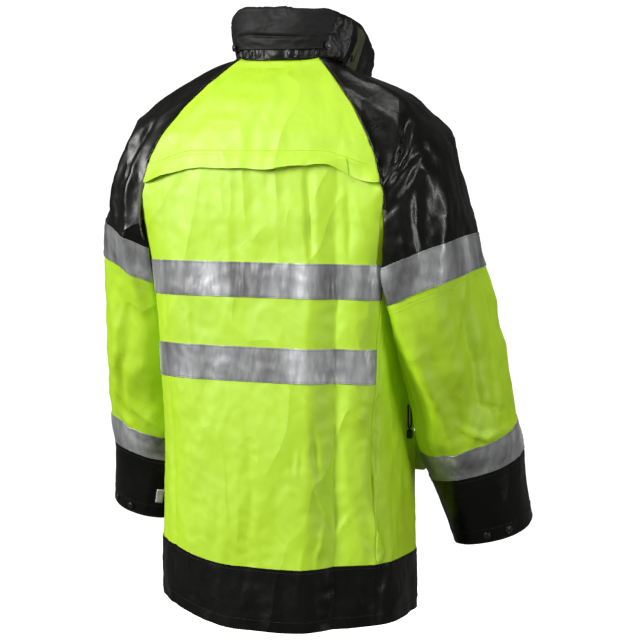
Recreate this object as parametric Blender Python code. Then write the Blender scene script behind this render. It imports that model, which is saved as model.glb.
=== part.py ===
"""Hooded high-visibility work jacket, hung up by the loop inside its back neck.

Metres, +Z up, the front faces -Y and the wearer's left is +X. Shapes are worked out from the hem up, and
placed() moves them so that the hanger loop is at the origin. Each fabric piece is a thin closed shell laid on a
grid of points: rows run upwards and columns run round the body or the sleeve.
"""
import math

import bpy
import numpy as np

SIDES = {"left": 1.0, "right": -1.0}

# Heights above the hem
HEM_BAND_TOP = 0.092
TAPE_WIDTH = 0.050
LOWER_TAPE = 0.364
UPPER_TAPE = 0.485
ARMPIT = 0.598
VENT_LIP = 0.680
FLAP_EDGE = 0.667
FLAP_SEAM = 0.692
BACK_NECK = 0.828
LOOP_HEIGHT = 0.819

# Thicknesses and gaps; a pair is how far a layer's inner and outer faces stand off the cloth under it
FABRIC = 0.0020
SEAM = 0.0004
TRIM_LIFT = 0.0006
TRIM = 0.0010
PIPING_ROOM = 0.0014
VENT_MESH = (-0.0016, -0.0006)
VENT_FLAP = (0.0022, 0.0040)
POCKET_BAG = (-0.0105, -0.0040)

# The body's cross-section: a rounded box, so the back is flat and turns a corner at each side
SECTION_HEIGHTS = (0.0, 0.30, 0.42, 0.62)
SECTION_HALF_WIDTHS = (0.190, 0.180, 0.181, 0.194)
SECTION_POWERS = (2.6, 3.1, 3.9, 5.5)
SECTION_HALF_DEPTH = 0.143
SECTION_CENTRE_Y = -0.012
BACK_SIDE_SEAM = 0.165
FRONT_SIDE_SEAM = 0.300
FRONT_EDGE = 0.489
SEAM_MARGIN = 0.0009
# Above the chest the cross-section follows the armholes: heights, then the depth of its middle line at the back,
# the squareness of the back, and the depth of the front's middle line
CHEST_BLEND = (0.52, 0.632)
BACK_CENTRE_HEIGHTS = (0.60, 0.68, 0.72, 0.765, 0.80, BACK_NECK)
BACK_CENTRE_DEPTHS = (0.133, 0.128, 0.119, 0.098, 0.072, 0.040)
BACK_SQUARENESS = ((0.62, 0.70, BACK_NECK), (3.0, 2.4, 2.0))
FRONT_CENTRE_HEIGHTS = (0.60, 0.72, 0.765)
FRONT_CENTRE_SETBACKS = (0.0, 0.0, 0.008)
FRONT_SQUARENESS = 2.4
ORIGIN = np.array((0.0, SECTION_CENTRE_Y + 0.047, LOOP_HEIGHT))

# The left armhole: angle round the sleeve (0 on top, 90 behind), then a point
ARMHOLE = (
    (0, 0.088, -0.050, 0.819),
    (22, 0.0622, 0.028, 0.831),
    (45, 0.1030, 0.060, 0.792),
    (68, 0.1315, 0.0775, 0.760),
    (92, 0.1605, 0.0985, 0.716),
    (112, 0.1750, 0.106, 0.683),
    (130, 0.1880, 0.110, 0.632),
    (148, 0.1950, 0.082, 0.607),
    (165, 0.1960, 0.040, 0.601),
    (180, 0.1960, 0.000, 0.599),
    (195, 0.1960, -0.045, 0.601),
    (212, 0.1915, -0.090, 0.607),
    (230, 0.1800, -0.120, 0.632),
    (248, 0.1600, -0.128, 0.672),
    (268, 0.1380, -0.133, 0.708),
    (292, 0.1120, -0.134, 0.738),
    (315, 0.0880, -0.130, 0.760),
    (338, 0.0680, -0.121, 0.778),
    (360, 0.088, -0.050, 0.819),
)
# How far the shoulder turns outwards as it leaves the armhole, by angle round the sleeve
OUTWARD_TURN = ((0, 74), (45, 62), (90, 34), (130, 12), (180, 0), (230, 12), (270, 34), (315, 62), (360, 74))

# The left sleeve's rings: height, centre x, centre y, half width, depth in front of the centre and behind it,
# rise outwards, rise backwards
SLEEVE_RINGS = (
    (0.620, 0.1960, -0.0200, 0.0730, 0.096, 0.132, 0.32, -0.12),
    (0.540, 0.2085, -0.0300, 0.0745, 0.097, 0.135, 0.45, -0.06),
    (0.460, 0.2245, -0.0485, 0.0745, 0.094, 0.122, 0.40, -0.10),
    (0.380, 0.2415, -0.0730, 0.0730, 0.088, 0.108, 0.32, -0.18),
    (0.290, 0.2520, -0.0930, 0.0715, 0.080, 0.086, 0.26, -0.24),
    (0.240, 0.2630, -0.1075, 0.0665, 0.072, 0.072, 0.26, -0.24),
    (0.163, 0.2805, -0.1230, 0.0600, 0.063, 0.063, 0.26, -0.24),
    (0.115, 0.2885, -0.1355, 0.0570, 0.060, 0.060, 0.26, -0.24),
)
SLEEVE_POWER = 2.3
SLEEVE_CLEARANCES = ((0.33, 0.016), (0.40, 0.0065), (0.54, 0.0065), (0.60, 0.015))
SLEEVE_COLUMNS = 24
SHOULDER_CUT = 0.596
SHOULDER_FULLNESS = 0.6
SLEEVE_TAPE_TOP = 0.550
SLEEVE_TAPE_BASE = 0.501
ELBOW_CUT = 0.385
CUFF_TAPE_TOP = 0.279
CUFF_TAPE_BASE = 0.232
CUFF_END = 0.121
# The cuff's snaps and label: angles round the sleeve, heights, and how far they stand off the cuff
CUFF_SNAP_TURNS = {"back": 84, "outer": 52}
CUFF_SNAP_HEIGHT = CUFF_END + 0.012
CUFF_SNAP_OFFSET = 0.0008
CUFF_SNAP_RADIUS = 0.0062
CUFF_SNAP_DEPTH = 0.0030
CUFF_LABEL_TURNS = (118, 130)
CUFF_LABEL_HEIGHTS = (0.150, 0.176)
CUFF_LABEL = (0.0010, 0.0018)

# The neck and collar
NECK_CENTRE_Y = -0.055
NECK_HALF_WIDTH = 0.084
NECK_HALF_DEPTH = 0.094
COLLAR_TOP_CENTRE_Y = -0.070
COLLAR_TOP_HALF_WIDTH = 0.099
COLLAR_TOP_HALF_DEPTH = 0.106
COLLAR_HEIGHT = 0.070
COLLAR_FRONT_EDGE = 0.485
NECK_POWER = 2.8
HOOD_FLAP_END = 0.148
HOOD_FLAP_SNAP = 0.124
# The collar's layers: how far the inner and the outer face of each stand off the collar's own outer face
COLLAR_LINING = (-0.0135, -0.0115)
STOWED_HOOD = (-0.0105, -0.0030)
HOOD_FLAP = (0.0030, 0.0044)
GATHERS = (0.0008, 0.0028)
COLLAR_LEVELS = (0.0, 0.18, 0.22, 0.42, 0.7, 1.0)
COLLAR_SNAP_LEVELS = (0.23, 0.30, 0.37)
COLLAR_SNAP_OFFSET = 0.0050
SNAP_RADIUS = 0.0058
SNAP_DEPTH = 0.0026

# The hanger loop's tape
LOOP_HALF_WIDTH = 0.028
LOOP_TAPE_WIDTH = 0.006
LOOP_BOW = 0.009
LOOP_THICKNESS = 0.0012

# The front closure
FRONT_Y = SECTION_CENTRE_Y - SECTION_HALF_DEPTH
ZIP_BASE = 0.020
ZIP_TOP = 0.752
ZIP_TAPE = (0.0034, 0.0118)
ZIP_TAPE_DEPTHS = (0.0002, 0.0012)
ZIP_TEETH_HALF_WIDTH = 0.0030
ZIP_TEETH_DEPTHS = (-0.0008, 0.0020)
# The slider and its pull: half width, depths from the zip's plane, distances below the zip's top
ZIP_SLIDER = (0.0050, (-0.0042, -0.0012), (0.018, 0.004))
ZIP_PULL = (0.0035, (-0.0064, -0.0046), (0.044, 0.008))
ZIP_PIVOT = (0.0030, 0.012)
STORM_FLAP_HALF_WIDTH = 0.036
STORM_FLAP_Y = -0.1690
STORM_FLAP_BASE = 0.012
STORM_FLAP_TOP = ZIP_TOP + 0.008
STORM_FLAP_HINGE_GAP = 0.0004
WELT_GAP = 0.0009
WELT_EDGE = 0.0100
WELT_DEPTHS = (0.0010, 0.0022)
SNAP_STRIP_EDGES = (0.004, 0.016)
SNAP_STRIP_DEPTHS = (0.0005, 0.0020)
SNAP_STRIP_BASE = 0.050
SNAP_STRIP_TOP = ZIP_TOP - 0.020

# The pockets: a flap starts this far from the centre line and turns by the slant to follow the front's curve
POCKET_SLANT = math.radians(12)
POCKET_FLAP_START = 0.030
POCKET_FLAP_WIDTH = 0.122
POCKET_FLAP_TOP = 0.272
POCKET_FLAP_BASE = 0.212
POCKET_FLAP_CLEARANCE = 0.0035
POCKET_FLAP_THICKNESS = 0.0028
POCKET_BAG_HEIGHTS = (0.12, 0.15, 0.22, 0.26)

# The raglan seams' binding, and the waist cord's loop as (y, height) down one side and up the other
PIPING_OUT = np.array((0.10, 0.80, 0.59))
PIPING_LIFT = 0.0044
PIPING_RADIUS = 0.0016
CORD_SPOTS = (
    (-0.0205, 0.3260),
    (-0.0208, 0.3120),
    (-0.0212, 0.2980),
    (-0.0235, 0.2925),
    (-0.0290, 0.2902),
    (-0.0345, 0.2925),
    (-0.0368, 0.2980),
    (-0.0372, 0.3120),
    (-0.0375, 0.3260),
)
CORD_STEP = 0.005
CORD_RADIUS = 0.0014
CORD_CLEARANCE = 0.0048
CORD_STOP_SIZE = 0.0072

COLOURS = {
    "lime": (0.52, 0.80, 0.06, 0.45),
    "black_fabric": (0.012, 0.012, 0.011, 0.35),
    "collar_fabric": (0.030, 0.030, 0.030, 0.50),
    "reflective_tape": (0.42, 0.43, 0.44, 0.40),
    "olive_lining": (0.10, 0.10, 0.045, 0.80),
    "mesh": (0.45, 0.62, 0.12, 0.90),
    "black_plastic": (0.010, 0.010, 0.010, 0.30),
    "black_cord": (0.012, 0.012, 0.012, 0.80),
    "label": (0.60, 0.60, 0.58, 0.70),
}


def clear_scene():
    for thing in list(bpy.data.objects):
        bpy.data.objects.remove(thing, do_unlink=True)


def material(name):
    found = bpy.data.materials.get(name)
    if found:
        return found
    red, green, blue, roughness = COLOURS[name]
    made = bpy.data.materials.new(name)
    made.use_nodes = True
    shader = made.node_tree.nodes["Principled BSDF"]
    shader.inputs["Base Color"].default_value = (red, green, blue, 1.0)
    shader.inputs["Roughness"].default_value = roughness
    return made


def placed(name, points, faces, colour, smooth=True, pivot=None):
    """A mesh object from points measured from the hem, with its origin on pivot, or at the hanger loop."""
    pivot = ORIGIN if pivot is None else np.asarray(pivot)
    mesh = bpy.data.meshes.new(name)
    mesh.from_pydata([tuple(p) for p in np.asarray(points) - pivot], [], faces)
    mesh.validate()
    made = bpy.data.objects.new(name, mesh)
    made.location = tuple(pivot - ORIGIN)
    bpy.context.scene.collection.objects.link(made)
    mesh.materials.append(material(colour))
    mesh.polygons.foreach_set("use_smooth", [smooth] * len(mesh.polygons))
    return made


def normals_of(grid, ring):
    """Unit normals, pointing away from the wearer when the rows go up and the columns go to the wearer's left."""
    if ring:
        across = np.roll(grid, -1, axis=1) - np.roll(grid, 1, axis=1)
    else:
        across = np.gradient(grid, axis=1)
    up = np.gradient(grid, axis=0)
    normals = np.cross(up, across)
    return normals / np.linalg.norm(normals, axis=2, keepdims=True)


def shell(name, grid, colour, inner=-FABRIC, outer=0.0, ring=False, pivot=None, flip=False):
    """A closed shell between two offsets from a grid of points, with the grid's own thickness round its rim."""
    grid = np.asarray(grid)
    rows, columns = grid.shape[:2]
    normals = normals_of(grid, ring) * (-1 if flip else 1)
    points = np.concatenate([(grid + normals * outer).reshape(-1, 3), (grid + normals * inner).reshape(-1, 3)])
    half = rows * columns
    faces = []
    last = columns if ring else columns - 1
    for r in range(rows - 1):
        for c in range(last):
            after = (c + 1) % columns
            a, b, d = r * columns + c, (r + 1) * columns + c, r * columns + after
            opposite = (r + 1) * columns + after
            for triangle in ((a, b, opposite), (a, opposite, d)):
                faces.append(triangle)
                faces.append(tuple(half + i for i in reversed(triangle)))
    for r, upward in ((0, False), (rows - 1, True)):
        for c in range(last):
            after = (c + 1) % columns
            a, b = r * columns + c, r * columns + after
            faces.append((a, half + a, half + b, b) if upward else (a, b, half + b, half + a))
    if not ring:
        for c, leftward in ((0, False), (columns - 1, True)):
            for r in range(rows - 1):
                a, b = r * columns + c, (r + 1) * columns + c
                faces.append((a, b, half + b, half + a) if leftward else (a, half + a, half + b, b))
    if flip:
        faces = [tuple(reversed(face)) for face in faces]
    return placed(name, points, faces, colour, pivot=pivot)


def block(name, low, high, colour, pivot=None):
    """A plain box between two corners."""
    low, high = np.asarray(low), np.asarray(high)
    points = [(x, y, z) for x in (low[0], high[0]) for y in (low[1], high[1]) for z in (low[2], high[2])]
    faces = [(0, 1, 3, 2), (4, 6, 7, 5), (0, 4, 5, 1), (2, 3, 7, 6), (0, 2, 6, 4), (1, 5, 7, 3)]
    return placed(name, points, faces, colour, smooth=False, pivot=pivot)


def disc(name, centre, axis, radius, depth, colour, columns=18):
    """A short round stud that stands out of centre along axis."""
    axis = np.asarray(axis) / np.linalg.norm(axis)
    first = np.cross(axis, (0.0, 0.0, 1.0))
    first /= np.linalg.norm(first)
    second = np.cross(axis, first)
    turns = [2 * math.pi * i / columns for i in range(columns)]
    rim = [first * math.cos(t) + second * math.sin(t) for t in turns]
    points = []
    for height, size in ((0.0, 1.0), (0.6, 1.0), (1.0, 0.72)):
        points += [np.asarray(centre) + axis * depth * height + r * radius * size for r in rim]
    faces = [tuple(reversed(range(columns))), tuple(range(2 * columns, 3 * columns))]
    for ring in (0, 1):
        for c in range(columns):
            a, b = ring * columns + c, ring * columns + (c + 1) % columns
            faces.append((a, b, b + columns, a + columns))
    return placed(name, points, faces, colour)


def smooth_path(spots, step):
    """Evenly spaced points of a smooth curve through the spots."""
    spots = np.asarray(spots)
    ends = np.concatenate([[2 * spots[0] - spots[1]], spots, [2 * spots[-1] - spots[-2]]])
    fine = []
    for k in range(len(spots) - 1):
        before, first, second, after = ends[k : k + 4]
        for t in np.linspace(0, 1, 20, endpoint=False):
            pull = (second - before) * t + (2 * before - 5 * first + 4 * second - after) * t**2
            fine.append(first + (pull + (3 * first - before - 3 * second + after) * t**3) / 2)
    fine = np.array([*fine, spots[-1]])
    lengths = np.concatenate([[0.0], np.cumsum(np.linalg.norm(np.diff(fine, axis=0), axis=1))])
    stops = np.linspace(0.0, lengths[-1], int(round(lengths[-1] / step)) + 1)
    return np.stack([np.interp(stops, lengths, fine[:, i]) for i in range(3)], axis=-1)


def tube(name, path, radius, colour, resolution):
    """A round cord along a path of points."""
    curve = bpy.data.curves.new(name, "CURVE")
    curve.dimensions = "3D"
    curve.bevel_depth = radius
    curve.bevel_resolution = resolution
    curve.use_fill_caps = True
    spline = curve.splines.new("POLY")
    spline.points.add(len(path) - 1)
    for point, place in zip(spline.points, path):
        point.co = (*(np.asarray(place) - ORIGIN), 1.0)
    made = bpy.data.objects.new(name, curve)
    bpy.context.scene.collection.objects.link(made)
    curve.materials.append(material(colour))
    return made


def mirrored(points, side):
    """Points of the left side, or their mirror image for the right side."""
    return np.asarray(points) * np.array((side, 1.0, 1.0))


# Body


def section_at(height):
    """The half width and the squareness of the body at a height."""
    half_width = np.interp(height, SECTION_HEIGHTS, SECTION_HALF_WIDTHS)
    return half_width, np.interp(height, SECTION_HEIGHTS, SECTION_POWERS)


def rounded_ring(turns, a, b, power):
    """Points (x, y) of a rounded box; turn 0 is at +Y and a quarter turn is at +X."""
    s, c = np.sin(turns), np.cos(turns)
    x = a * np.sign(s) * np.abs(s) ** (2 / power)
    y = b * np.sign(c) * np.abs(c) ** (2 / power)
    return np.stack([x, y], axis=-1)


def body_points(shares, height):
    """Points on the body at one height; a share is the distance round from the centre back, -0.5 to 0.5."""
    half_width, power = section_at(height)
    ring = rounded_ring(np.linspace(-math.pi, math.pi, 2881), half_width, SECTION_HALF_DEPTH, power)
    lengths = np.concatenate([[0.0], np.cumsum(np.linalg.norm(np.diff(ring, axis=0), axis=1))])
    lengths = lengths / lengths[-1] - 0.5
    x = np.interp(shares, lengths, ring[:, 0])
    y = np.interp(shares, lengths, ring[:, 1]) + SECTION_CENTRE_Y
    return np.stack([x, y, np.full_like(x, height)], axis=-1)


def body_side_x(y, height):
    """Half the body's width at a depth y, or 0 beyond it."""
    half_width, power = section_at(height)
    share = np.clip(np.abs((y - SECTION_CENTRE_Y) / SECTION_HALF_DEPTH), 0.0, 1.0)
    return half_width * (1 - share**power) ** (1 / power)


def eased(low, high, value):
    t = np.clip((value - low) / (high - low), 0.0, 1.0)
    return t * t * (3 - 2 * t)


def seam_at(height, first, last):
    """The armhole's point at a height, between two of its angles."""
    rows = np.array([row for row in ARMHOLE if first <= row[0] <= last])
    rows = rows[np.argsort(rows[:, 3])]
    return np.interp(height, rows[:, 3], rows[:, 1]), np.interp(height, rows[:, 3], rows[:, 2])


def back_row(shares, height):
    """A row of the back from the right edge (-1) to the left edge (1)."""
    low = body_points(shares * BACK_SIDE_SEAM, height)
    mix = eased(*CHEST_BLEND, height)
    if mix == 0:
        return low
    x, y = seam_at(max(height, CHEST_BLEND[1]), 22, 130)
    x -= PIPING_ROOM
    centre = np.interp(height, BACK_CENTRE_HEIGHTS, BACK_CENTRE_DEPTHS)
    spread = np.abs(shares) ** np.interp(height, *BACK_SQUARENESS)
    high = np.stack([shares * x, centre + (y - centre) * spread, np.full_like(shares, height)], axis=-1)
    neck_dip = 0.003 * eased(0.76, BACK_NECK, height)
    high[:, 2] += neck_dip * spread
    return low + (high - low) * mix


def front_row(shares, height, side):
    """A row of one front panel from its side seam (0) to the front edge (1)."""
    low = body_points(FRONT_SIDE_SEAM + shares * (FRONT_EDGE - FRONT_SIDE_SEAM), height)
    mix = eased(*CHEST_BLEND, height)
    if mix > 0:
        x, y = seam_at(max(height, CHEST_BLEND[1]), 230, 338)
        x -= PIPING_ROOM
        edge_x = low[-1][0]
        centre = FRONT_Y + np.interp(height, FRONT_CENTRE_HEIGHTS, FRONT_CENTRE_SETBACKS)
        spread = (1 - shares) ** FRONT_SQUARENESS
        across = x + (edge_x - x) * shares
        high = np.stack([across, centre + (y - centre) * spread, np.full_like(shares, height)], axis=-1)
        high[:, 2] -= 0.012 * eased(0.70, 0.776, height) * shares
        low = low + (high - low) * mix
    return mirrored(low, side)


def side_row(shares, height, side):
    first, last = BACK_SIDE_SEAM + SEAM_MARGIN, FRONT_SIDE_SEAM - SEAM_MARGIN
    return mirrored(body_points(first + shares * (last - first), height), side)


def body_grid(row_maker, shares, heights, *more):
    return np.array([row_maker(np.asarray(shares), height, *more) for height in heights])


BACK_SHARES = np.sin(np.linspace(-1, 1, 19) * 1.25) / math.sin(1.25)
FRONT_SHARES = np.linspace(0, 1, 9)
SIDE_SHARES = np.linspace(0, 1, 6)
BAND_HEIGHTS = (0.0, 0.03, 0.06, HEM_BAND_TOP - SEAM)
TAPE_EDGES = (LOWER_TAPE, LOWER_TAPE + TAPE_WIDTH, UPPER_TAPE, UPPER_TAPE + TAPE_WIDTH)
BODY_HEIGHTS = (HEM_BAND_TOP, 0.15, 0.22, 0.29, *TAPE_EDGES[:3], 0.50, TAPE_EDGES[3])
BACK_HEIGHTS = (*BODY_HEIGHTS, 0.56, 0.60, 0.632, VENT_LIP)
FRONT_HEIGHTS = (*BODY_HEIGHTS, 0.56, 0.60, 0.632, 0.672, 0.708, 0.738, 0.760, 0.774)
SIDE_HEIGHTS = (*BODY_HEIGHTS, 0.56, ARMPIT - PIPING_ROOM)
TRIM_OFFSETS = {"inner": TRIM_LIFT, "outer": TRIM_LIFT + TRIM}


def rows_between(heights, low, high):
    return [h for h in heights if low - 1e-6 <= h <= high + 1e-6]


def build_back():
    shell("back_panel", body_grid(back_row, BACK_SHARES, BACK_HEIGHTS), "lime")
    yoke_heights = (FLAP_SEAM, 0.704, 0.716, 0.738, 0.760, 0.775, 0.792, 0.810, BACK_NECK - 0.001)
    shell("back_yoke", body_grid(back_row, BACK_SHARES, yoke_heights), "lime")
    mesh_heights = (VENT_LIP + SEAM, FLAP_SEAM - SEAM)
    shell("back_vent_mesh", body_grid(back_row, BACK_SHARES * 0.94, mesh_heights), "mesh", *VENT_MESH)
    flap_heights = (FLAP_EDGE, FLAP_EDGE + 0.008, FLAP_EDGE + 0.016, FLAP_SEAM - SEAM)
    flap = body_grid(back_row, BACK_SHARES * 0.985, flap_heights)
    shell("back_vent_flap", flap, "lime", *VENT_FLAP)
    shell("hem_band_back", body_grid(back_row, BACK_SHARES, BAND_HEIGHTS), "black_fabric")
    for name, low in (("lower", LOWER_TAPE), ("upper", UPPER_TAPE)):
        grid = body_grid(back_row, BACK_SHARES, rows_between(BACK_HEIGHTS, low, low + TAPE_WIDTH))
        shell(f"body_tape_back_{name}", grid, "reflective_tape", **TRIM_OFFSETS)


def build_fronts():
    for name, side in SIDES.items():
        flip = side < 0
        front = body_grid(front_row, FRONT_SHARES, FRONT_HEIGHTS, side)
        shell(f"front_panel_{name}", front, "lime", flip=flip)
        shell(f"side_panel_{name}", body_grid(side_row, SIDE_SHARES, SIDE_HEIGHTS, side), "lime", flip=flip)
        band_start = (BACK_SIDE_SEAM - FRONT_SIDE_SEAM) / (FRONT_EDGE - FRONT_SIDE_SEAM) + 0.005
        band = body_grid(front_row, np.linspace(band_start, 1, 14), BAND_HEIGHTS, side)
        shell(f"hem_band_front_{name}", band, "black_fabric", flip=flip)
        for tape, low in (("lower", LOWER_TAPE), ("upper", UPPER_TAPE)):
            grid = body_grid(front_row, FRONT_SHARES, rows_between(FRONT_HEIGHTS, low, low + TAPE_WIDTH), side)
            shell(f"body_tape_front_{tape}_{name}", grid, "reflective_tape", flip=flip, **TRIM_OFFSETS)


# Sleeves


def sleeve_ring(height, turns):
    """A ring of the left sleeve, kept clear of the body. Turn 0 points outwards and a quarter turn backwards."""
    rings = np.array(SLEEVE_RINGS)[::-1]
    cx, cy, hw, front, rear, out, back = (np.interp(height, rings[:, 0], rings[:, i]) for i in range(1, 8))
    s, c = np.sin(turns), np.cos(turns)
    x = cx + hw * np.sign(c) * np.abs(c) ** (2 / SLEEVE_POWER)
    y = cy + np.where(s > 0, rear, -front) * np.abs(s) ** (2 / SLEEVE_POWER)
    z = height + out * (x - cx) + back * (y - cy)
    clearance = np.interp(height, *zip(*SLEEVE_CLEARANCES))
    x = np.maximum(x, body_side_x(y, z) + clearance)
    z = height + out * (x - cx) + back * (y - cy)
    return np.stack([x, y, z], axis=-1)


def sleeve_turns():
    return np.linspace(0, 2 * math.pi, SLEEVE_COLUMNS, endpoint=False)


def sleeve_grid(heights, side):
    return mirrored(np.array([sleeve_ring(h, sleeve_turns()) for h in heights]), side)


def shoulder_grid(side):
    """Curves from the armhole, out over the shoulder and down to the cut where the sleeve swings."""
    turns = sleeve_turns()
    degrees = np.degrees(turns)
    table = np.array(ARMHOLE)
    start = np.stack([np.interp(degrees, table[:, 0], table[:, i]) for i in (1, 2, 3)], axis=-1)
    turn_table = np.array(OUTWARD_TURN)
    outward = np.radians(np.interp(degrees, turn_table[:, 0], turn_table[:, 1]))
    leave = np.stack([np.sin(outward), np.zeros_like(outward), -np.cos(outward)], axis=-1)
    end = sleeve_ring(SHOULDER_CUT, turns)
    below = sleeve_ring(SHOULDER_CUT - 0.02, turns)
    arrive = (below - end) / np.linalg.norm(below - end, axis=1, keepdims=True)
    span = np.linalg.norm(end - start, axis=1, keepdims=True)
    room = np.minimum(PIPING_ROOM / span, 0.3)
    pull = span * (1 + SHOULDER_FULLNESS * outward / outward.max())[:, None]
    start = start + np.array((PIPING_ROOM, 0.0, 0.0))
    rows = []
    for step in (1.0, 0.86, 0.72, 0.58, 0.44, 0.30, 0.16, 0.0):
        t = room + step * (1 - room)
        t2, t3 = t * t, t * t * t
        rows.append(
            (2 * t3 - 3 * t2 + 1) * start
            + (t3 - 2 * t2 + t) * leave * pull
            + (3 * t2 - 2 * t3) * end
            + (t3 - t2) * arrive * pull
        )
    return mirrored(np.array(rows), side)


def sleeve_pivot(height, outer, side):
    """The ring's outermost point, where the whole sleeve swings, or its foremost point, where the elbow bends."""
    ring = sleeve_ring(height, np.radians([0.0 if outer else 270.0]))
    lift = np.array((0.0005, 0.0, 0.0)) if outer else np.array((0.0, -0.0005, 0.0))
    return mirrored(ring[0] + lift, side)


def build_sleeves():
    for name, side in SIDES.items():
        flip = side > 0
        shoulder = sleeve_pivot(SHOULDER_CUT, True, side)
        elbow = sleeve_pivot(ELBOW_CUT, False, side)
        shell(f"shoulder_{name}", shoulder_grid(side), "black_fabric", ring=True, flip=flip)
        upper = (SLEEVE_TAPE_BASE, SLEEVE_TAPE_TOP, 0.575, SHOULDER_CUT - SEAM)
        pieces = (
            ("upper_sleeve", upper, "black_fabric", shoulder),
            ("mid_sleeve", (ELBOW_CUT + SEAM, 0.42, 0.46, SLEEVE_TAPE_BASE - 4 * SEAM), "lime", shoulder),
            ("lower_sleeve", (CUFF_TAPE_BASE, CUFF_TAPE_TOP, 0.31, 0.35, ELBOW_CUT - SEAM), "lime", elbow),
            ("cuff", (CUFF_END, 0.15, 0.19, CUFF_TAPE_BASE - 2 * SEAM), "black_fabric", elbow),
        )
        for piece, heights, colour, pivot in pieces:
            shell(f"{piece}_{name}", sleeve_grid(heights, side), colour, ring=True, flip=flip, pivot=pivot)
        tapes = (
            ("upper", (SLEEVE_TAPE_BASE, SLEEVE_TAPE_TOP), shoulder),
            ("lower", (CUFF_TAPE_BASE, CUFF_TAPE_TOP), elbow),
        )
        for tape, heights, pivot in tapes:
            grid = sleeve_grid(heights, side)
            tape_name = f"sleeve_tape_{tape}_{name}"
            shell(tape_name, grid, "reflective_tape", ring=True, flip=flip, pivot=pivot, **TRIM_OFFSETS)


def cuff_place(height, degrees, side):
    """A point on the cuff and the way out of it."""
    turns = np.radians([degrees - 4, degrees, degrees + 4])
    here = sleeve_ring(height, turns)
    below = sleeve_ring(height - 0.01, turns)
    out = np.cross(here[2] - here[0], here[1] - below[1])
    return mirrored(here[1], side), mirrored(out / np.linalg.norm(out), side)


def build_cuff_trim():
    for name, side in SIDES.items():
        for place, degrees in CUFF_SNAP_TURNS.items():
            centre, out = cuff_place(CUFF_SNAP_HEIGHT, degrees, side)
            foot = centre + out * CUFF_SNAP_OFFSET
            disc(f"cuff_snap_{place}_{name}", foot, out, CUFF_SNAP_RADIUS, CUFF_SNAP_DEPTH, "black_plastic")
    turns = np.radians(np.linspace(*CUFF_LABEL_TURNS, 3))
    grid = np.array([sleeve_ring(height, turns) for height in CUFF_LABEL_HEIGHTS])
    shell("cuff_label", grid, "label", *CUFF_LABEL, flip=True)


def build_piping():
    """The bound edge of each raglan seam, laid over the seam from the neck down the back."""
    rows = [np.array(row[1:]) for row in ARMHOLE if 22 <= row[0] <= 130]
    path = []
    for first, second in zip(rows, rows[1:]):
        path += [first, (first + second) / 2]
    path.append(rows[-1])
    for name, side in SIDES.items():
        lifted = [mirrored(point + PIPING_OUT * PIPING_LIFT, side) for point in path]
        tube(f"raglan_piping_{name}", lifted, PIPING_RADIUS, "black_fabric", 1)


# Collar


def neck_height(y):
    return np.interp(y, (-0.150, -0.120, -0.050, 0.026, 0.040), (0.765, 0.778, 0.819, 0.831, 0.828))


def collar_grid(shares, levels):
    """Rows of the collar from its base (0) to its top (1); a share is the distance round from the centre back."""
    turns = np.asarray(shares) * 2 * math.pi
    base = rounded_ring(turns, NECK_HALF_WIDTH, NECK_HALF_DEPTH, NECK_POWER)
    top = rounded_ring(turns, COLLAR_TOP_HALF_WIDTH, COLLAR_TOP_HALF_DEPTH, NECK_POWER)
    rows = []
    for level in levels:
        x = base[:, 0] + (top[:, 0] - base[:, 0]) * level
        y = base[:, 1] + NECK_CENTRE_Y
        y = y + (top[:, 1] + COLLAR_TOP_CENTRE_Y - y) * level
        z = neck_height(base[:, 1] + NECK_CENTRE_Y) + 0.0035 + COLLAR_HEIGHT * level
        rows.append(np.stack([x, y, z], axis=-1))
    return np.array(rows)


def build_collar():
    around = np.linspace(-COLLAR_FRONT_EDGE, COLLAR_FRONT_EDGE, 29)
    shell("collar", collar_grid(around, COLLAR_LEVELS), "collar_fabric")
    shell("collar_lining", collar_grid(around, COLLAR_LEVELS), "olive_lining", *COLLAR_LINING)
    shell("stowed_hood", collar_grid(around[4:-4], COLLAR_LEVELS[1:-1]), "collar_fabric", *STOWED_HOOD)
    back = np.linspace(-HOOD_FLAP_END, HOOD_FLAP_END, 11)
    shell("hood_pocket_flap", collar_grid(back, COLLAR_LEVELS[2:]), "collar_fabric", *HOOD_FLAP)
    shell("gathered_band", collar_grid(back, COLLAR_LEVELS[:2]), "black_fabric", *GATHERS)
    for name, side in SIDES.items():
        shares = [side * (HOOD_FLAP_SNAP + step) for step in (-0.01, 0.0, 0.01)]
        spot = collar_grid(shares, COLLAR_SNAP_LEVELS)
        out = normals_of(spot, False)[1, 1] * side
        place = spot[1, 1] + out * COLLAR_SNAP_OFFSET
        disc(f"collar_snap_{name}", place, out, SNAP_RADIUS, SNAP_DEPTH, "black_plastic")


def build_hanger_loop():
    """A narrow tape with both ends under the collar's lining, bowed inwards so that a hook fits behind it."""
    across = np.linspace(-1, 1, 13)
    x = across * LOOP_HALF_WIDTH
    y = ORIGIN[1] - LOOP_TAPE_WIDTH - LOOP_BOW * (1 - across**2)
    edges = (LOOP_HEIGHT - LOOP_TAPE_WIDTH, LOOP_HEIGHT)
    rows = np.array([np.stack([x, y, np.full_like(x, z)], axis=-1) for z in edges])
    shell("hanger_loop", rows, "black_fabric", -LOOP_THICKNESS, 0.0)


# Front closure and pockets


def zip_block(name, shape, pivot):
    half, depths, below_top = shape
    low = (-half, FRONT_Y + depths[0], ZIP_TOP - below_top[0])
    high = (half, FRONT_Y + depths[1], ZIP_TOP - below_top[1])
    block(name, low, high, "black_plastic", pivot)


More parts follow.
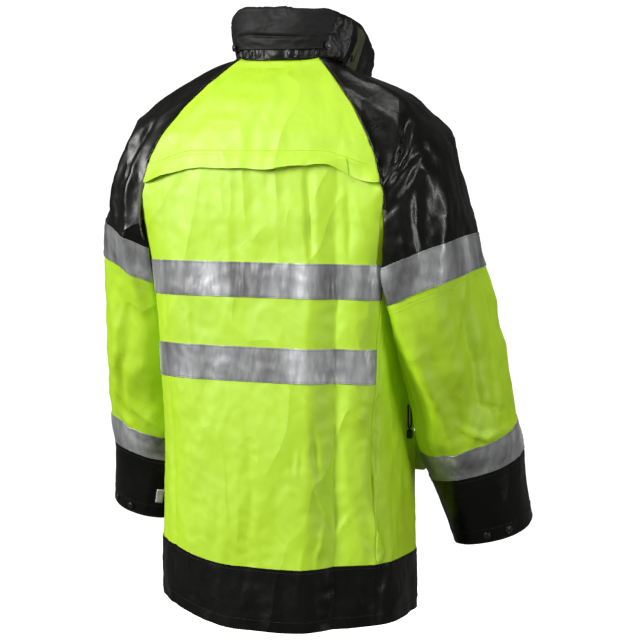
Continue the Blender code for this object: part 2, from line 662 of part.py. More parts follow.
def build_zip():
    for name, side in SIDES.items():
        edges = sorted((side * ZIP_TAPE[0], side * ZIP_TAPE[1]))
        low = (edges[0], FRONT_Y + ZIP_TAPE_DEPTHS[0], ZIP_BASE)
        high = (edges[1], FRONT_Y + ZIP_TAPE_DEPTHS[1], ZIP_TOP)
        block(f"zip_tape_{name}", low, high, "black_cord")
    low = (-ZIP_TEETH_HALF_WIDTH, FRONT_Y + ZIP_TEETH_DEPTHS[0], ZIP_BASE)
    high = (ZIP_TEETH_HALF_WIDTH, FRONT_Y + ZIP_TEETH_DEPTHS[1], ZIP_TOP)
    block("zip_teeth", low, high, "black_plastic")
    pivot = (0.0, FRONT_Y - ZIP_PIVOT[0], ZIP_TOP - ZIP_PIVOT[1])
    zip_block("zip_slider", ZIP_SLIDER, pivot)
    zip_block("zip_pull", ZIP_PULL, pivot)


def build_storm_flap():
    half = STORM_FLAP_HALF_WIDTH
    hinge = (half + STORM_FLAP_HINGE_GAP, STORM_FLAP_Y - STORM_FLAP_HINGE_GAP / 2, ZIP_BASE)
    back_y = STORM_FLAP_Y + FABRIC
    block("storm_flap", (-half, STORM_FLAP_Y, STORM_FLAP_BASE), (half, back_y, STORM_FLAP_TOP), "lime", hinge)
    low = (half + WELT_GAP, STORM_FLAP_Y + WELT_DEPTHS[0], STORM_FLAP_BASE)
    high = (half + WELT_EDGE, FRONT_Y - WELT_DEPTHS[1], STORM_FLAP_TOP)
    block("storm_flap_welt", low, high, "lime")
    low = (-half + SNAP_STRIP_EDGES[0], back_y + SNAP_STRIP_DEPTHS[0], SNAP_STRIP_BASE)
    high = (-half + SNAP_STRIP_EDGES[1], back_y + SNAP_STRIP_DEPTHS[1], SNAP_STRIP_TOP)
    block("storm_flap_snap_strip", low, high, "black_fabric", hinge)


def build_pockets():
    """Each flap is a flat plate, held just clear of the curved front, that lifts about its top edge."""
    out = np.array((math.sin(POCKET_SLANT), -math.cos(POCKET_SLANT), 0.0))
    along = np.array((math.cos(POCKET_SLANT), math.sin(POCKET_SLANT), 0.0))
    front = body_points(np.linspace(FRONT_SIDE_SEAM, FRONT_EDGE, 60), POCKET_FLAP_TOP)
    reach = max(front @ out) + POCKET_FLAP_CLEARANCE
    for name, side in SIDES.items():
        corners = []
        for lift in (0.0, POCKET_FLAP_THICKNESS):
            for height in (POCKET_FLAP_BASE, POCKET_FLAP_TOP):
                for distance in (POCKET_FLAP_START, POCKET_FLAP_START + POCKET_FLAP_WIDTH):
                    point = out * (reach + lift) + along * distance
                    corners.append(mirrored((point[0], point[1], height), side))
        faces = [(0, 2, 3, 1), (4, 5, 7, 6), (0, 1, 5, 4), (2, 6, 7, 3), (0, 4, 6, 2), (1, 3, 7, 5)]
        if side < 0:
            faces = [tuple(reversed(face)) for face in faces]
        hinge = (corners[2] + corners[3]) / 2
        placed(f"pocket_flap_{name}", corners, faces, "lime", smooth=False, pivot=hinge)
        grid = body_grid(front_row, FRONT_SHARES[1:8], POCKET_BAG_HEIGHTS, side)
        shell(f"pocket_bag_{name}", grid, "black_cord", *POCKET_BAG, flip=side < 0)


def build_drawcord():
    """The waist cord's loop at the right side, which hangs down to a cord stop."""
    lowest = CORD_SPOTS[len(CORD_SPOTS) // 2]
    x = -body_side_x(lowest[0], lowest[1]) - CORD_CLEARANCE
    path = smooth_path([(x, y, z) for y, z in CORD_SPOTS], CORD_STEP)
    tube("waist_drawcord", path, CORD_RADIUS, "black_cord", 2)
    foot = np.array((x + CORD_STOP_SIZE / 2, lowest[0], lowest[1] - CORD_RADIUS - CORD_STOP_SIZE))
    disc("cord_stop", foot, (-1.0, 0.0, 0.0), CORD_STOP_SIZE, CORD_STOP_SIZE, "black_plastic")


clear_scene()
build_back()
build_fronts()
build_sleeves()
build_cuff_trim()
build_piping()
build_collar()
build_hanger_loop()
build_zip()
build_storm_flap()
build_pockets()
build_drawcord()
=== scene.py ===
import math

import bmesh
import bpy
import numpy as np
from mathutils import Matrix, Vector, noise


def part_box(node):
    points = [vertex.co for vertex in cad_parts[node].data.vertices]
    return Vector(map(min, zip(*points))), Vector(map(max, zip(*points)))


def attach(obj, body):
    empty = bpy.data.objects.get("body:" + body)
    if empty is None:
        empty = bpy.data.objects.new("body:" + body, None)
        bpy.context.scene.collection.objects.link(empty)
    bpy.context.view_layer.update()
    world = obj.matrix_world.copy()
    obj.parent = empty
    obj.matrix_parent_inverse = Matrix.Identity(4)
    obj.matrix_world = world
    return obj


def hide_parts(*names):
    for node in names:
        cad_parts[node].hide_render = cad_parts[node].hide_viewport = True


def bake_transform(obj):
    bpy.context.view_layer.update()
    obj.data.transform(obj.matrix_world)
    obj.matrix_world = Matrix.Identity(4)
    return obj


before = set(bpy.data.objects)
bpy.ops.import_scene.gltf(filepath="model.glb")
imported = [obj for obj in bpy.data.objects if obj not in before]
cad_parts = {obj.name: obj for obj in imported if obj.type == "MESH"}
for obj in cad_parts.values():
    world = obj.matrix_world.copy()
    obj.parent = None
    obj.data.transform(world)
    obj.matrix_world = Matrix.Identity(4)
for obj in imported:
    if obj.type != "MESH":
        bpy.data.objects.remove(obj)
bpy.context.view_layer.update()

# A hooded high-visibility work jacket, hung by the loop inside its neck and seen from behind. The frame's +Z
# is up and -Y is the way the wearer faces. The garment's shape is worked out from the hem up, as in the CAD,
# then folded and draped as one welded cloth, and the pieces of the body and the sleeves are cut from that cloth.


def low(node):
    return np.array(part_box(node)[0])


def high(node):
    return np.array(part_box(node)[1])


SIDES = {"left": 1.0, "right": -1.0}
HEM = low("hem_band_back")[2]
ORIGIN = np.array((0.0, 0.035, -HEM))
BAND_TOP = high("hem_band_back")[2] - HEM
LOWER_TAPE = low("body_tape_back_lower")[2] - HEM
UPPER_TAPE = low("body_tape_back_upper")[2] - HEM
TAPE_WIDTH = high("body_tape_back_upper")[2] - HEM - UPPER_TAPE
FLAP_EDGE = low("back_vent_flap")[2] - HEM
FLAP_SEAM = low("back_yoke")[2] - HEM
BACK_NECK = high("back_yoke")[2] - HEM

# The body's cross-section
SECTION_HEIGHTS = (0.0, 0.30, 0.42, 0.62)
SECTION_HALF_WIDTHS = (0.190, 0.180, 0.181, 0.194)
SECTION_POWERS = (2.6, 3.1, 3.9, 5.5)
SECTION_HALF_DEPTH = 0.143
SECTION_CENTRE_Y = -0.012
BACK_SIDE_SEAM = 0.165
FRONT_SIDE_SEAM = 0.300
FRONT_EDGE = 0.489
FRONT_Y = SECTION_CENTRE_Y - SECTION_HALF_DEPTH
# Above this blend the cross-section follows the armholes: heights, then the depths of its middle line
CHEST_BLEND = (0.52, 0.632)
BACK_CENTRE = ((0.60, 0.68, 0.72, 0.765, 0.80, 0.828), (0.133, 0.128, 0.119, 0.098, 0.072, 0.040))
BACK_SQUARENESS = ((0.62, 0.70, 0.828), (3.0, 2.4, 2.0))
FRONT_CENTRE = ((0.60, 0.72, 0.765), (FRONT_Y, FRONT_Y, FRONT_Y + 0.008))

# The left armhole: angle round the sleeve (0 on top, 90 behind), then a point
ARMHOLE = (
    (0, 0.088, -0.050, 0.819),
    (22, 0.0622, 0.028, 0.831),
    (45, 0.1030, 0.060, 0.792),
    (68, 0.1315, 0.0775, 0.760),
    (92, 0.1605, 0.0985, 0.716),
    (112, 0.1750, 0.106, 0.683),
    (130, 0.1880, 0.110, 0.632),
    (230, 0.1800, -0.120, 0.632),
    (248, 0.1600, -0.128, 0.672),
    (268, 0.1380, -0.133, 0.708),
    (292, 0.1120, -0.134, 0.738),
    (315, 0.0880, -0.130, 0.760),
    (338, 0.0680, -0.121, 0.778),
    (360, 0.088, -0.050, 0.819),
)
# How far the shoulder turns outwards as it leaves the armhole, by angle round the sleeve
OUTWARD_TURN = ((0, 74), (45, 62), (90, 34), (130, 12), (180, 0), (230, 12), (270, 34), (315, 62), (360, 74))
# The left sleeve's rings: height, centre x, centre y, half width, depth in front of the centre and behind it,
# rise outwards, rise backwards
SLEEVE_RINGS = (
    (0.620, 0.1960, -0.0200, 0.0730, 0.096, 0.132, 0.32, -0.12),
    (0.540, 0.2085, -0.0300, 0.0745, 0.097, 0.135, 0.45, -0.06),
    (0.460, 0.2245, -0.0485, 0.0745, 0.094, 0.122, 0.40, -0.10),
    (0.380, 0.2415, -0.0730, 0.0730, 0.088, 0.108, 0.32, -0.18),
    (0.290, 0.2520, -0.0930, 0.0715, 0.080, 0.086, 0.26, -0.24),
    (0.240, 0.2630, -0.1075, 0.0665, 0.072, 0.072, 0.26, -0.24),
    (0.163, 0.2805, -0.1230, 0.0600, 0.063, 0.063, 0.26, -0.24),
    (0.115, 0.2885, -0.1355, 0.0570, 0.060, 0.060, 0.26, -0.24),
)
SLEEVE_POWER = 2.3
SLEEVE_CLEARANCES = ((0.33, 0.016), (0.40, 0.0065), (0.54, 0.0065), (0.60, 0.015))
SHOULDER_CUT = 0.596
SHOULDER_FULLNESS = 0.6
SLEEVE_TAPE_TOP = 0.550
SLEEVE_TAPE_BASE = 0.501
ELBOW_CUT = 0.385
CUFF_TAPE_TOP = 0.279
CUFF_TAPE_BASE = 0.232
CUFF_END = 0.121
CUFF_SNAP_HEIGHT = CUFF_END + 0.012

# The neck and the collar
NECK_CENTRE_Y = -0.055
NECK_HALF_WIDTH = 0.084
NECK_HALF_DEPTH = 0.094
COLLAR_TOP_CENTRE_Y = -0.070
COLLAR_TOP_HALF_WIDTH = 0.099
COLLAR_TOP_HALF_DEPTH = 0.106
COLLAR_HEIGHT = 0.0655
COLLAR_FRONT_EDGE = 0.485
NECK_POWER = 2.8
FLAP_END = 0.148
FLAP_SNAP = 0.124
FLAP_OFFSET = 0.0045

POCKET_SLANT = math.radians(12)
FABRIC = 0.0014
HANG_TILT = 0.020
HEM_RISE = 0.020

UP = np.array((0.0, 0.0, 1.0))
FRONTWARDS = np.array((0.0, -1.0, 0.0))
# How far two rows of stitches lie in from an edge
EDGE_STITCH = 0.0025


# Shapes


def eased(low_end, high_end, value):
    t = np.clip((value - low_end) / (high_end - low_end), 0.0, 1.0)
    return t * t * (3 - 2 * t)


def path_lengths(points):
    """How far along a path each of its points is."""
    return np.concatenate([[0.0], np.cumsum(np.linalg.norm(np.diff(points, axis=0), axis=1))])


def mirrored(points, side):
    return np.asarray(points) * np.array((side, 1.0, 1.0))


def section_at(height):
    half_width = np.interp(height, SECTION_HEIGHTS, SECTION_HALF_WIDTHS)
    return half_width, np.interp(height, SECTION_HEIGHTS, SECTION_POWERS)


def rounded_ring(turns, a, b, power):
    """Points (x, y) of a rounded box; turn 0 is at +Y and a quarter turn is at +X."""
    s, c = np.sin(turns), np.cos(turns)
    x = a * np.sign(s) * np.abs(s) ** (2 / power)
    y = b * np.sign(c) * np.abs(c) ** (2 / power)
    return np.stack([x, y], axis=-1)


def body_points(shares, height):
    """Points on the body at one height; a share is the distance round from the centre back, -0.5 to 0.5."""
    half_width, power = section_at(height)
    ring = rounded_ring(np.linspace(-math.pi, math.pi, 2881), half_width, SECTION_HALF_DEPTH, power)
    lengths = path_lengths(ring)
    lengths = lengths / lengths[-1] - 0.5
    x = np.interp(shares, lengths, ring[:, 0])
    y = np.interp(shares, lengths, ring[:, 1]) + SECTION_CENTRE_Y
    return np.stack([x, y, np.full_like(x, height)], axis=-1)


def body_side_x(y, height):
    """Half the body's width at a depth y, or 0 beyond it."""
    half_width, power = section_at(height)
    share = np.clip(np.abs((y - SECTION_CENTRE_Y) / SECTION_HALF_DEPTH), 0.0, 1.0)
    return half_width * (1 - share**power) ** (1 / power)


def seam_at(height, first, last):
    """The armhole's point at a height, between two of its angles."""
    rows = np.array([row for row in ARMHOLE if first <= row[0] <= last])
    rows = rows[np.argsort(rows[:, 3])]
    return np.interp(height, rows[:, 3], rows[:, 1]), np.interp(height, rows[:, 3], rows[:, 2])


def back_row(shares, height):
    """A row of the back from the right edge (-1) to the left edge (1)."""
    lower = body_points(shares * BACK_SIDE_SEAM, height)
    mix = eased(*CHEST_BLEND, height)
    if mix == 0:
        return lower
    x, y = seam_at(max(height, CHEST_BLEND[1]), 22, 130)
    centre = np.interp(height, *BACK_CENTRE)
    spread = np.abs(shares) ** np.interp(height, *BACK_SQUARENESS)
    upper = np.stack([shares * x, centre + (y - centre) * spread, np.full_like(shares, height)], axis=-1)
    upper[:, 2] += 0.003 * eased(0.76, 0.828, height) * spread
    return lower + (upper - lower) * mix


def front_row(shares, height):
    """A row of the left front from its side seam (0) to its front edge (1)."""
    lower = body_points(FRONT_SIDE_SEAM + shares * (FRONT_EDGE - FRONT_SIDE_SEAM), height)
    mix = eased(*CHEST_BLEND, height)
    if mix > 0:
        x, y = seam_at(max(height, CHEST_BLEND[1]), 230, 338)
        centre = np.interp(height, *FRONT_CENTRE)
        spread = (1 - shares) ** 2.4
        across = x + (lower[-1][0] - x) * shares
        upper = np.stack([across, centre + (y - centre) * spread, np.full_like(shares, height)], axis=-1)
        upper[:, 2] -= 0.012 * eased(0.70, 0.776, height) * shares
        lower = lower + (upper - lower) * mix
    return lower


def side_row(shares, height):
    """A row from the back panel's edge (0) to the front's side seam (1)."""
    row = body_points(BACK_SIDE_SEAM + shares * (FRONT_SIDE_SEAM - BACK_SIDE_SEAM), height)
    back_gap = back_row(np.array([1.0]), height)[0] - row[0]
    front_gap = front_row(np.array([0.0]), height)[0] - row[-1]
    return row + back_gap * (1 - shares[:, None]) + front_gap * shares[:, None]


def sleeve_ring(height, turns):
    """A ring of the left sleeve, kept clear of the body. Turn 0 is outwards, a quarter turn backwards."""
    rings = np.array(SLEEVE_RINGS)[::-1]
    cx, cy, hw, front, rear, out, back = (np.interp(height, rings[:, 0], rings[:, i]) for i in range(1, 8))
    s, c = np.sin(turns), np.cos(turns)
    x = cx + hw * np.sign(c) * np.abs(c) ** (2 / SLEEVE_POWER)
    y = cy + np.where(s > 0, rear, -front) * np.abs(s) ** (2 / SLEEVE_POWER)
    z = height + out * (x - cx) + back * (y - cy)
    clearance = np.interp(height, *zip(*SLEEVE_CLEARANCES))
    x = np.maximum(x, body_side_x(y, z) + clearance)
    z = height + out * (x - cx) + back * (y - cy)
    return np.stack([x, y, z], axis=-1)


# The surfaces that the cloth is cut from

SEAM_TURNS_BACK = np.linspace(130, 22, 20)
SEAM_TURNS_FRONT = np.linspace(230, 338, 20)


def seam_heights(turns):
    table = np.array(ARMHOLE)
    return np.interp(turns, table[:, 0], table[:, 3])


UNDERARM = 0.598
LOW_ROWS = np.linspace(0.0, UNDERARM, 61)
BACK_ROWS = np.concatenate([LOW_ROWS, [0.615], seam_heights(SEAM_TURNS_BACK)])
FRONT_ROWS = np.concatenate([LOW_ROWS, [0.615], seam_heights(SEAM_TURNS_FRONT)])
BACK_COLUMNS = np.linspace(-1, 1, 43)
SIDE_COLUMNS = np.linspace(0, 1, 17)
FRONT_COLUMNS = np.linspace(0, 1, 24)
SHOULDER_ROWS = 26
# A sleeve's rows over the shoulder are numbered above the cut where it swings, by this much at the armhole
SHOULDER_SPAN = 0.22
FULL_TURN = 360.0


class Surface:
    """A grid of points that can be read anywhere, smoothly. us go along its columns and vs along its rows."""

    def __init__(self, us, vs, grid, ring=False):
        self.us, self.vs, self.grid, self.ring = np.asarray(us), np.asarray(vs), np.asarray(grid), ring

    def at(self, us, vs):
        """Points for each v (rows) and u (columns)."""
        rows, columns = self.grid.shape[:2]
        way = 1 if self.vs[0] < self.vs[-1] else -1
        r = np.interp(way * np.asarray(vs), way * self.vs, np.arange(rows))
        if self.ring:
            knots = np.append(self.us, self.us[0] + FULL_TURN)
            turns = (np.asarray(us) - self.us[0]) % FULL_TURN + self.us[0]
            c = np.interp(turns, knots, np.arange(columns + 1))
        else:
            c = np.interp(us, self.us, np.arange(columns))
        wr, ir = self.weights(r, rows, False)
        wc, ic = self.weights(c, columns, self.ring)
        picked = self.padded()[ir[:, :, None, None], ic[None, None, :, :]]
        return np.einsum("ra,cb,racbk->rck", wr, wc, picked)

    def padded(self):
        """The grid with one more row and column beyond each edge."""
        g = self.grid
        g = np.concatenate([2 * g[:1] - g[1:2], g, 2 * g[-1:] - g[-2:-1]], axis=0)
        if self.ring:
            return np.concatenate([g[:, -1:], g, g[:, :2]], axis=1)
        return np.concatenate([2 * g[:, :1] - g[:, 1:2], g, 2 * g[:, -1:] - g[:, -2:-1]], axis=1)

    def weights(self, f, count, ring):
        """The four weights of a smooth curve through the points, and the points they belong to."""
        base = np.floor(f).astype(int)
        base = np.clip(base, 0, count - 1 if ring else count - 2)
        t = f - base
        w = np.stack([
            -0.5 * t + t**2 - 0.5 * t**3,
            1 - 2.5 * t**2 + 1.5 * t**3,
            0.5 * t + 2 * t**2 - 1.5 * t**3,
            -0.5 * t**2 + 0.5 * t**3,
        ], axis=-1)
        index = base[:, None] + np.arange(4)[None, :]
        return w, index

    def refined(self):
        """The same surface with twice as many rows and columns."""
        ends = np.append(self.us, self.us[0] + FULL_TURN) if self.ring else self.us
        us = np.interp(np.arange(0, len(ends) - 0.9, 0.5), np.arange(len(ends)), ends)
        us = us[:2 * len(self.us)] if self.ring else us
        rows = len(self.vs)
        vs = np.interp(np.arange(0, rows - 0.9, 0.5), np.arange(rows), self.vs)
        return Surface(us, vs, self.at(us, vs), self.ring)

    def patch(self, us, vs):
        """Points and normals; vs may also be a function that gives each column its own."""
        if not callable(vs):
            return self.at(us, vs), self.normals(us, vs)
        columns = [(self.at([u], vs(u)), self.normals([u], vs(u))) for u in us]
        return tuple(np.concatenate([column[i] for column in columns], axis=1) for i in (0, 1))

    def normals(self, us, vs):
        """Unit normals, away from the wearer where the columns go to the wearer's left."""
        du = 1e-3 * abs(self.us[-1] - self.us[0])
        dv = 1e-3 * abs(self.vs[-1] - self.vs[0])
        us, vs = np.asarray(us, float), np.asarray(vs, float)
        across = self.at(us + du, vs) - self.at(us - du, vs)
        up = self.at(us, vs + dv) - self.at(us, vs - dv)
        n = np.cross(up, across)
        return n / np.maximum(np.linalg.norm(n, axis=2, keepdims=True), 1e-12)


def seam_turn(height, turns, below):
    """The angle round the sleeve of a seam's point at a height, or below for points under the seam's foot."""
    return np.interp(height, seam_heights(turns), turns) if height >= CHEST_BLEND[1] else below


def armhole_points(back, front):
    """The left armhole's points, each with its turn: back seam down, underarm, front seam up, neck arc."""
    rows = len(LOW_ROWS)
    turns = [seam_turn(height, SEAM_TURNS_BACK, 134) for height in BACK_ROWS[:rows - 1:-1]]
    points = list(back[:rows - 1:-1, -1])
    under = side_row(SIDE_COLUMNS, UNDERARM)
    turns += [139 + 82 * share for share in np.linspace(0, 1, len(under))]
    points += list(under)
    turns += [seam_turn(height, SEAM_TURNS_FRONT, 226) for height in FRONT_ROWS[rows:]]
    points += list(front[rows:, 0])
    first, last, top = points[0], points[-1], np.array(ARMHOLE[0][1:])
    for turn in np.linspace(-22, 22, 10)[1:-1]:
        t = turn / 22
        end = first if t > 0 else last
        bulge = np.array((0.006, 0.0, 0.0)) * (1 - (2 * abs(t) - 1) ** 2)
        turns.append(turn % FULL_TURN)
        points.append(top + (end - top) * abs(t) + bulge)
    return np.array(turns), np.array(points)


def sleeve_surface(turns, start):
    """Rows from the armhole out over the shoulder, then rings down to the cuff."""
    angle = np.radians(turns)
    table = np.array(OUTWARD_TURN)
    outward = np.radians(np.interp(turns, table[:, 0], table[:, 1]))
    leave = np.stack([np.sin(outward), np.zeros_like(outward), -np.cos(outward)], axis=-1)
    end = sleeve_ring(SHOULDER_CUT, angle)
    below = sleeve_ring(SHOULDER_CUT - 0.02, angle)
    arrive = (below - end) / np.linalg.norm(below - end, axis=1, keepdims=True)
    span = np.linalg.norm(end - start, axis=1, keepdims=True)
    span = span * (1 + SHOULDER_FULLNESS * outward / outward.max())[:, None]
    rows, vs = [], []
    for t in np.linspace(0, 1, SHOULDER_ROWS, endpoint=False):
        t2, t3 = t * t, t * t * t
        rows.append(
            (2 * t3 - 3 * t2 + 1) * start + (t3 - 2 * t2 + t) * leave * span
            + (3 * t2 - 2 * t3) * end + (t3 - t2) * arrive * span)
        vs.append(SHOULDER_CUT + SHOULDER_SPAN * (1 - t))
    for height in np.linspace(SHOULDER_CUT, CUFF_END, 49):
        rows.append(sleeve_ring(height, angle))
        vs.append(height)
    return np.array(vs), np.array(rows)


def build_surfaces():
    found = {}
    back = np.array([back_row(BACK_COLUMNS, h) for h in BACK_ROWS])
    found["back"] = Surface(BACK_COLUMNS, BACK_ROWS, back)
    front = np.array([front_row(FRONT_COLUMNS, h) for h in FRONT_ROWS])
    side = np.array([side_row(SIDE_COLUMNS, h) for h in LOW_ROWS])
    turns, start = armhole_points(back, front)
    order = np.argsort(turns)
    vs, sleeve = sleeve_surface(turns[order], start[order])
    for name, sign in SIDES.items():
        found[f"front_{name}"] = Surface(FRONT_COLUMNS, FRONT_ROWS, mirrored(front, sign))
        found[f"side_{name}"] = Surface(SIDE_COLUMNS, LOW_ROWS, mirrored(side, sign))
        found[f"sleeve_{name}"] = Surface(turns[order], vs, mirrored(sleeve, sign), ring=True)
    return found


# Meshes


def hung(points):
    """The jacket hangs a little higher on its left side."""
    points = np.array(points, float)
    points[..., 2] += HANG_TILT * points[..., 0]
    return points - ORIGIN


def linked(name, data, *materials):
    """A new object in the scene, with its materials."""
    made = bpy.data.objects.new(name, data)
    bpy.context.scene.collection.objects.link(made)
    for material in materials:
        data.materials.append(material)
    return made


def make_object(name, points, faces, materials, face_materials=None, uvs=None):
    mesh = bpy.data.meshes.new(name)
    mesh.from_pydata([tuple(p) for p in hung(points)], [], faces)
    made = linked(name, mesh, *materials)
    if face_materials is not None:
        mesh.polygons.foreach_set("material_index", face_materials)
    mesh.polygons.foreach_set("use_smooth", [True] * len(mesh.polygons))
    if uvs is not None:
        layer = mesh.uv_layers.new(name="UVMap")
        loops = np.empty(len(mesh.loops), int)
        mesh.loops.foreach_get("vertex_index", loops)
        layer.data.foreach_set("uv", np.asarray(uvs, float)[loops].ravel())
    mesh.validate()
    mesh.update()
    return made


def lengths_along(points, axis):
    steps = np.linalg.norm(np.diff(points, axis=axis), axis=2)
    total = np.cumsum(steps, axis=axis)
    zero = np.zeros_like(total[:1] if axis == 0 else total[:, :1])
    return np.concatenate([zero, total], axis=axis)


def tube_faces(rings, columns, start=0, flip=False):
    """Faces of a tube of rings of points, with both its ends closed."""
    faces = []
    for ring in range(rings - 1):
        for c in range(columns):
            a = start + ring * columns + c
            b = start + ring * columns + (c + 1) % columns
            faces.append((a, b, b + columns, a + columns))
    top = start + (rings - 1) * columns
    faces.append(tuple(reversed(range(start, start + columns))))
    faces.append(tuple(range(top, top + columns)))
    return [face[::-1] for face in faces] if flip else faces


def circle(centre, first, second, radius, columns):
    """Points round centre, in the plane of two unit directions."""
    turns = [2 * math.pi * c / columns for c in range(columns)]
    return [centre + (first * math.cos(t) + second * math.sin(t)) * radius for t in turns]


def rim_faces(rows, columns, ring):
    """The narrow faces that join a shell's two sides round its edge."""
    half = rows * columns
    last = columns if ring else columns - 1
    rim = []
    for row, upward in ((0, False), (rows - 1, True)):
        for column in range(last):
            p, q = row * columns + column, row * columns + (column + 1) % columns
            rim.append((p, half + p, half + q, q) if upward else (p, q, half + q, half + p))
    if not ring:
        for column, leftward in ((0, False), (columns - 1, True)):
            for row in range(rows - 1):
                p, q = row * columns + column, (row + 1) * columns + column
                rim.append((p, q, half + q, half + p) if leftward else (p, half + p, half + q, q))
    return np.array(rim)


def grid_shell(name, grid, normals, inner, outer, materials, ring=False, sign=1.0):
    """A closed shell on a grid with outward normals: materials are the face and the back."""
    rows, columns = grid.shape[:2]
    across = lengths_along(grid, 1).mean(axis=0)
    up = lengths_along(grid, 0).mean(axis=1)
    uv = np.stack(np.meshgrid(across, up), axis=-1).reshape(-1, 2)
    points = np.concatenate([(grid + normals * reach).reshape(-1, 3) for reach in (outer, inner)])
    r, c = np.meshgrid(np.arange(rows - 1), np.arange(columns if ring else columns - 1), indexing="ij")
    after = (c + 1) % columns
    corners = (r * columns + c, (r + 1) * columns + c, (r + 1) * columns + after, r * columns + after)
    outer_faces = np.stack(corners, axis=-1).reshape(-1, 4)
    inner_faces = rows * columns + outer_faces[:, ::-1]
    faces = np.concatenate([outer_faces, inner_faces, rim_faces(rows, columns, ring)])
    if sign < 0:
        faces = faces[:, ::-1]
    marks = np.zeros(len(faces), int)
    if len(materials) > 1:
        marks[len(outer_faces):len(outer_faces) + len(inner_faces)] = 1
    return make_object(name, points, faces.tolist(), materials, marks, np.concatenate([uv, uv]))


def settle(made, body, nodes=()):
    """Hide the CAD nodes that a piece stands for, and tie the piece to the body that it moves with."""
    if nodes:
        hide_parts(*nodes)
    if body:
        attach(made, body)
    return made


def cloth_piece(
    name, surface, us, vs, body, materials, nodes,
    inner=-FABRIC, outer=0.0, ring=False, sign=1.0, lift=None,
):
    """A piece of fabric cut from a surface."""
    grid, normals = surface.patch(us, vs)
    normals = normals * sign
    if lift is not None:
        grid = grid + normals * lift(us, vs)[:, :, None]
    made = settle(grid_shell(name, grid, normals, inner, outer, materials, ring, sign), body, nodes)
    return made


# Materials


def node(tree, kind, **values):
    made = tree.nodes.new(kind)
    for key, value in values.items():
        if key in made.inputs:
            made.inputs[key].default_value = value
        else:
            setattr(made, key, value)
    return made


def calculated(tree, operation, *values):
    """The result of a sum on node outputs and plain numbers."""
    made = node(tree, "ShaderNodeMath", operation=operation)
    for socket, value in zip(made.inputs, values):
        if isinstance(value, float):
            socket.default_value = value
        else:
            tree.links.new(value, socket)
    return made.outputs["Value"]


def noise_at(tree, scale, detail=3.0, roughness=0.55, stretch=None, creased=False):
    """Noise over the object's own coordinates in metres, squeezed along its axes, sharp-topped if asked."""
    source = node(tree, "ShaderNodeTexCoord").outputs["Object"]
    made = node(tree, "ShaderNodeTexNoise", Scale=scale, Detail=detail, Roughness=roughness)
    if stretch is not None:
        mapping = node(tree, "ShaderNodeMapping", Scale=stretch)
        tree.links.new(source, mapping.inputs["Vector"])
        source = mapping.outputs["Vector"]
    tree.links.new(source, made.inputs["Vector"])
    if not creased:
        return made.outputs["Fac"]
    made.inputs["Distortion"].default_value = 0.8
    return calculated(tree, "ABSOLUTE", calculated(tree, "SUBTRACT", made.outputs["Fac"], 0.5))


def ramp(tree, value, stops):
    made = node(tree, "ShaderNodeValToRGB")
    elements = made.color_ramp.elements
    while len(elements) < len(stops):
        elements.new(0.5)
    for element, (position, colour) in zip(elements, stops):
        element.position = position
        element.color = (*colour, 1.0)
    tree.links.new(value, made.inputs["Fac"])
    return made.outputs["Color"]


def mapped(tree, value, low_value, high_value):
    """The middle of a noise's range, spread between two values."""
    ends = {"From Min": 0.3, "From Max": 0.7, "To Min": low_value, "To Max": high_value}
    made = node(tree, "ShaderNodeMapRange", **ends)
    tree.links.new(value, made.inputs["Value"])
    return made.outputs["Result"]


def surfaced(name, build):
    """A material whose colour, roughness and (value, strength, metres) bumps come from build(tree)."""
    made = bpy.data.materials.new(name)
    made.use_nodes = True
    tree = made.node_tree
    shader = tree.nodes["Principled BSDF"]
    colour, roughness, layers, constants = build(tree)
    tree.links.new(colour, shader.inputs["Base Color"])
    if isinstance(roughness, float):
        shader.inputs["Roughness"].default_value = roughness
    else:
        tree.links.new(roughness, shader.inputs["Roughness"])
    for key, value in constants.items():
        shader.inputs[key].default_value = value
    normal = None
    for value, strength, depth in layers:
        bump = node(tree, "ShaderNodeBump", Strength=strength, Distance=depth)
        tree.links.new(value, bump.inputs["Height"])
        if normal is not None:
            tree.links.new(normal, bump.inputs["Normal"])
        normal = bump.outputs["Normal"]
    tree.links.new(normal, shader.inputs["Normal"])
    if "Emission Strength" in constants:
        tree.links.new(colour, shader.inputs["Emission Color"])
    return made


def cells_at(tree, scale):
    made = node(tree, "ShaderNodeTexVoronoi", Scale=scale)
    tree.links.new(node(tree, "ShaderNodeTexCoord").outputs["Object"], made.inputs["Vector"])
    return made.outputs["Distance"]


def coated_fabric(name, dark, light, roughness, folds, coat, glow, crease):
    """Coated fabric: a fine pebble grain, soft creases in every direction, and cloudy colour and gloss."""
    def build(tree):
        colour = ramp(tree, noise_at(tree, 9.0), ((0.32, dark), (0.68, light)))
        gloss = mapped(tree, noise_at(tree, 35.0, 4.0), roughness - 0.06, roughness + 0.08)
        layers = (
            (noise_at(tree, 11.0, 1.0, 0.4, (1.0, 1.0, 0.42), creased=True), folds, -0.030),
            (noise_at(tree, 27.0, 2.0, 0.5, (1.0, 1.0, 0.7), creased=True), crease, -0.009),
            (noise_at(tree, 130.0, 3.0, 0.6), crease * 0.5, 0.0006),
            (cells_at(tree, 1400.0), 0.25, 0.00012),
        )
        constants = {
            "Coat Weight": coat,
            "Coat Roughness": 0.28,
            "Specular IOR Level": 1.0 if glow else 0.32,
        }
        # A glow is painted light: the fabric lights itself in its own colour, which lifts its shade.
        if glow:
            constants["Emission Strength"] = glow
        return colour, gloss, layers, constants

    return surfaced(name, build)


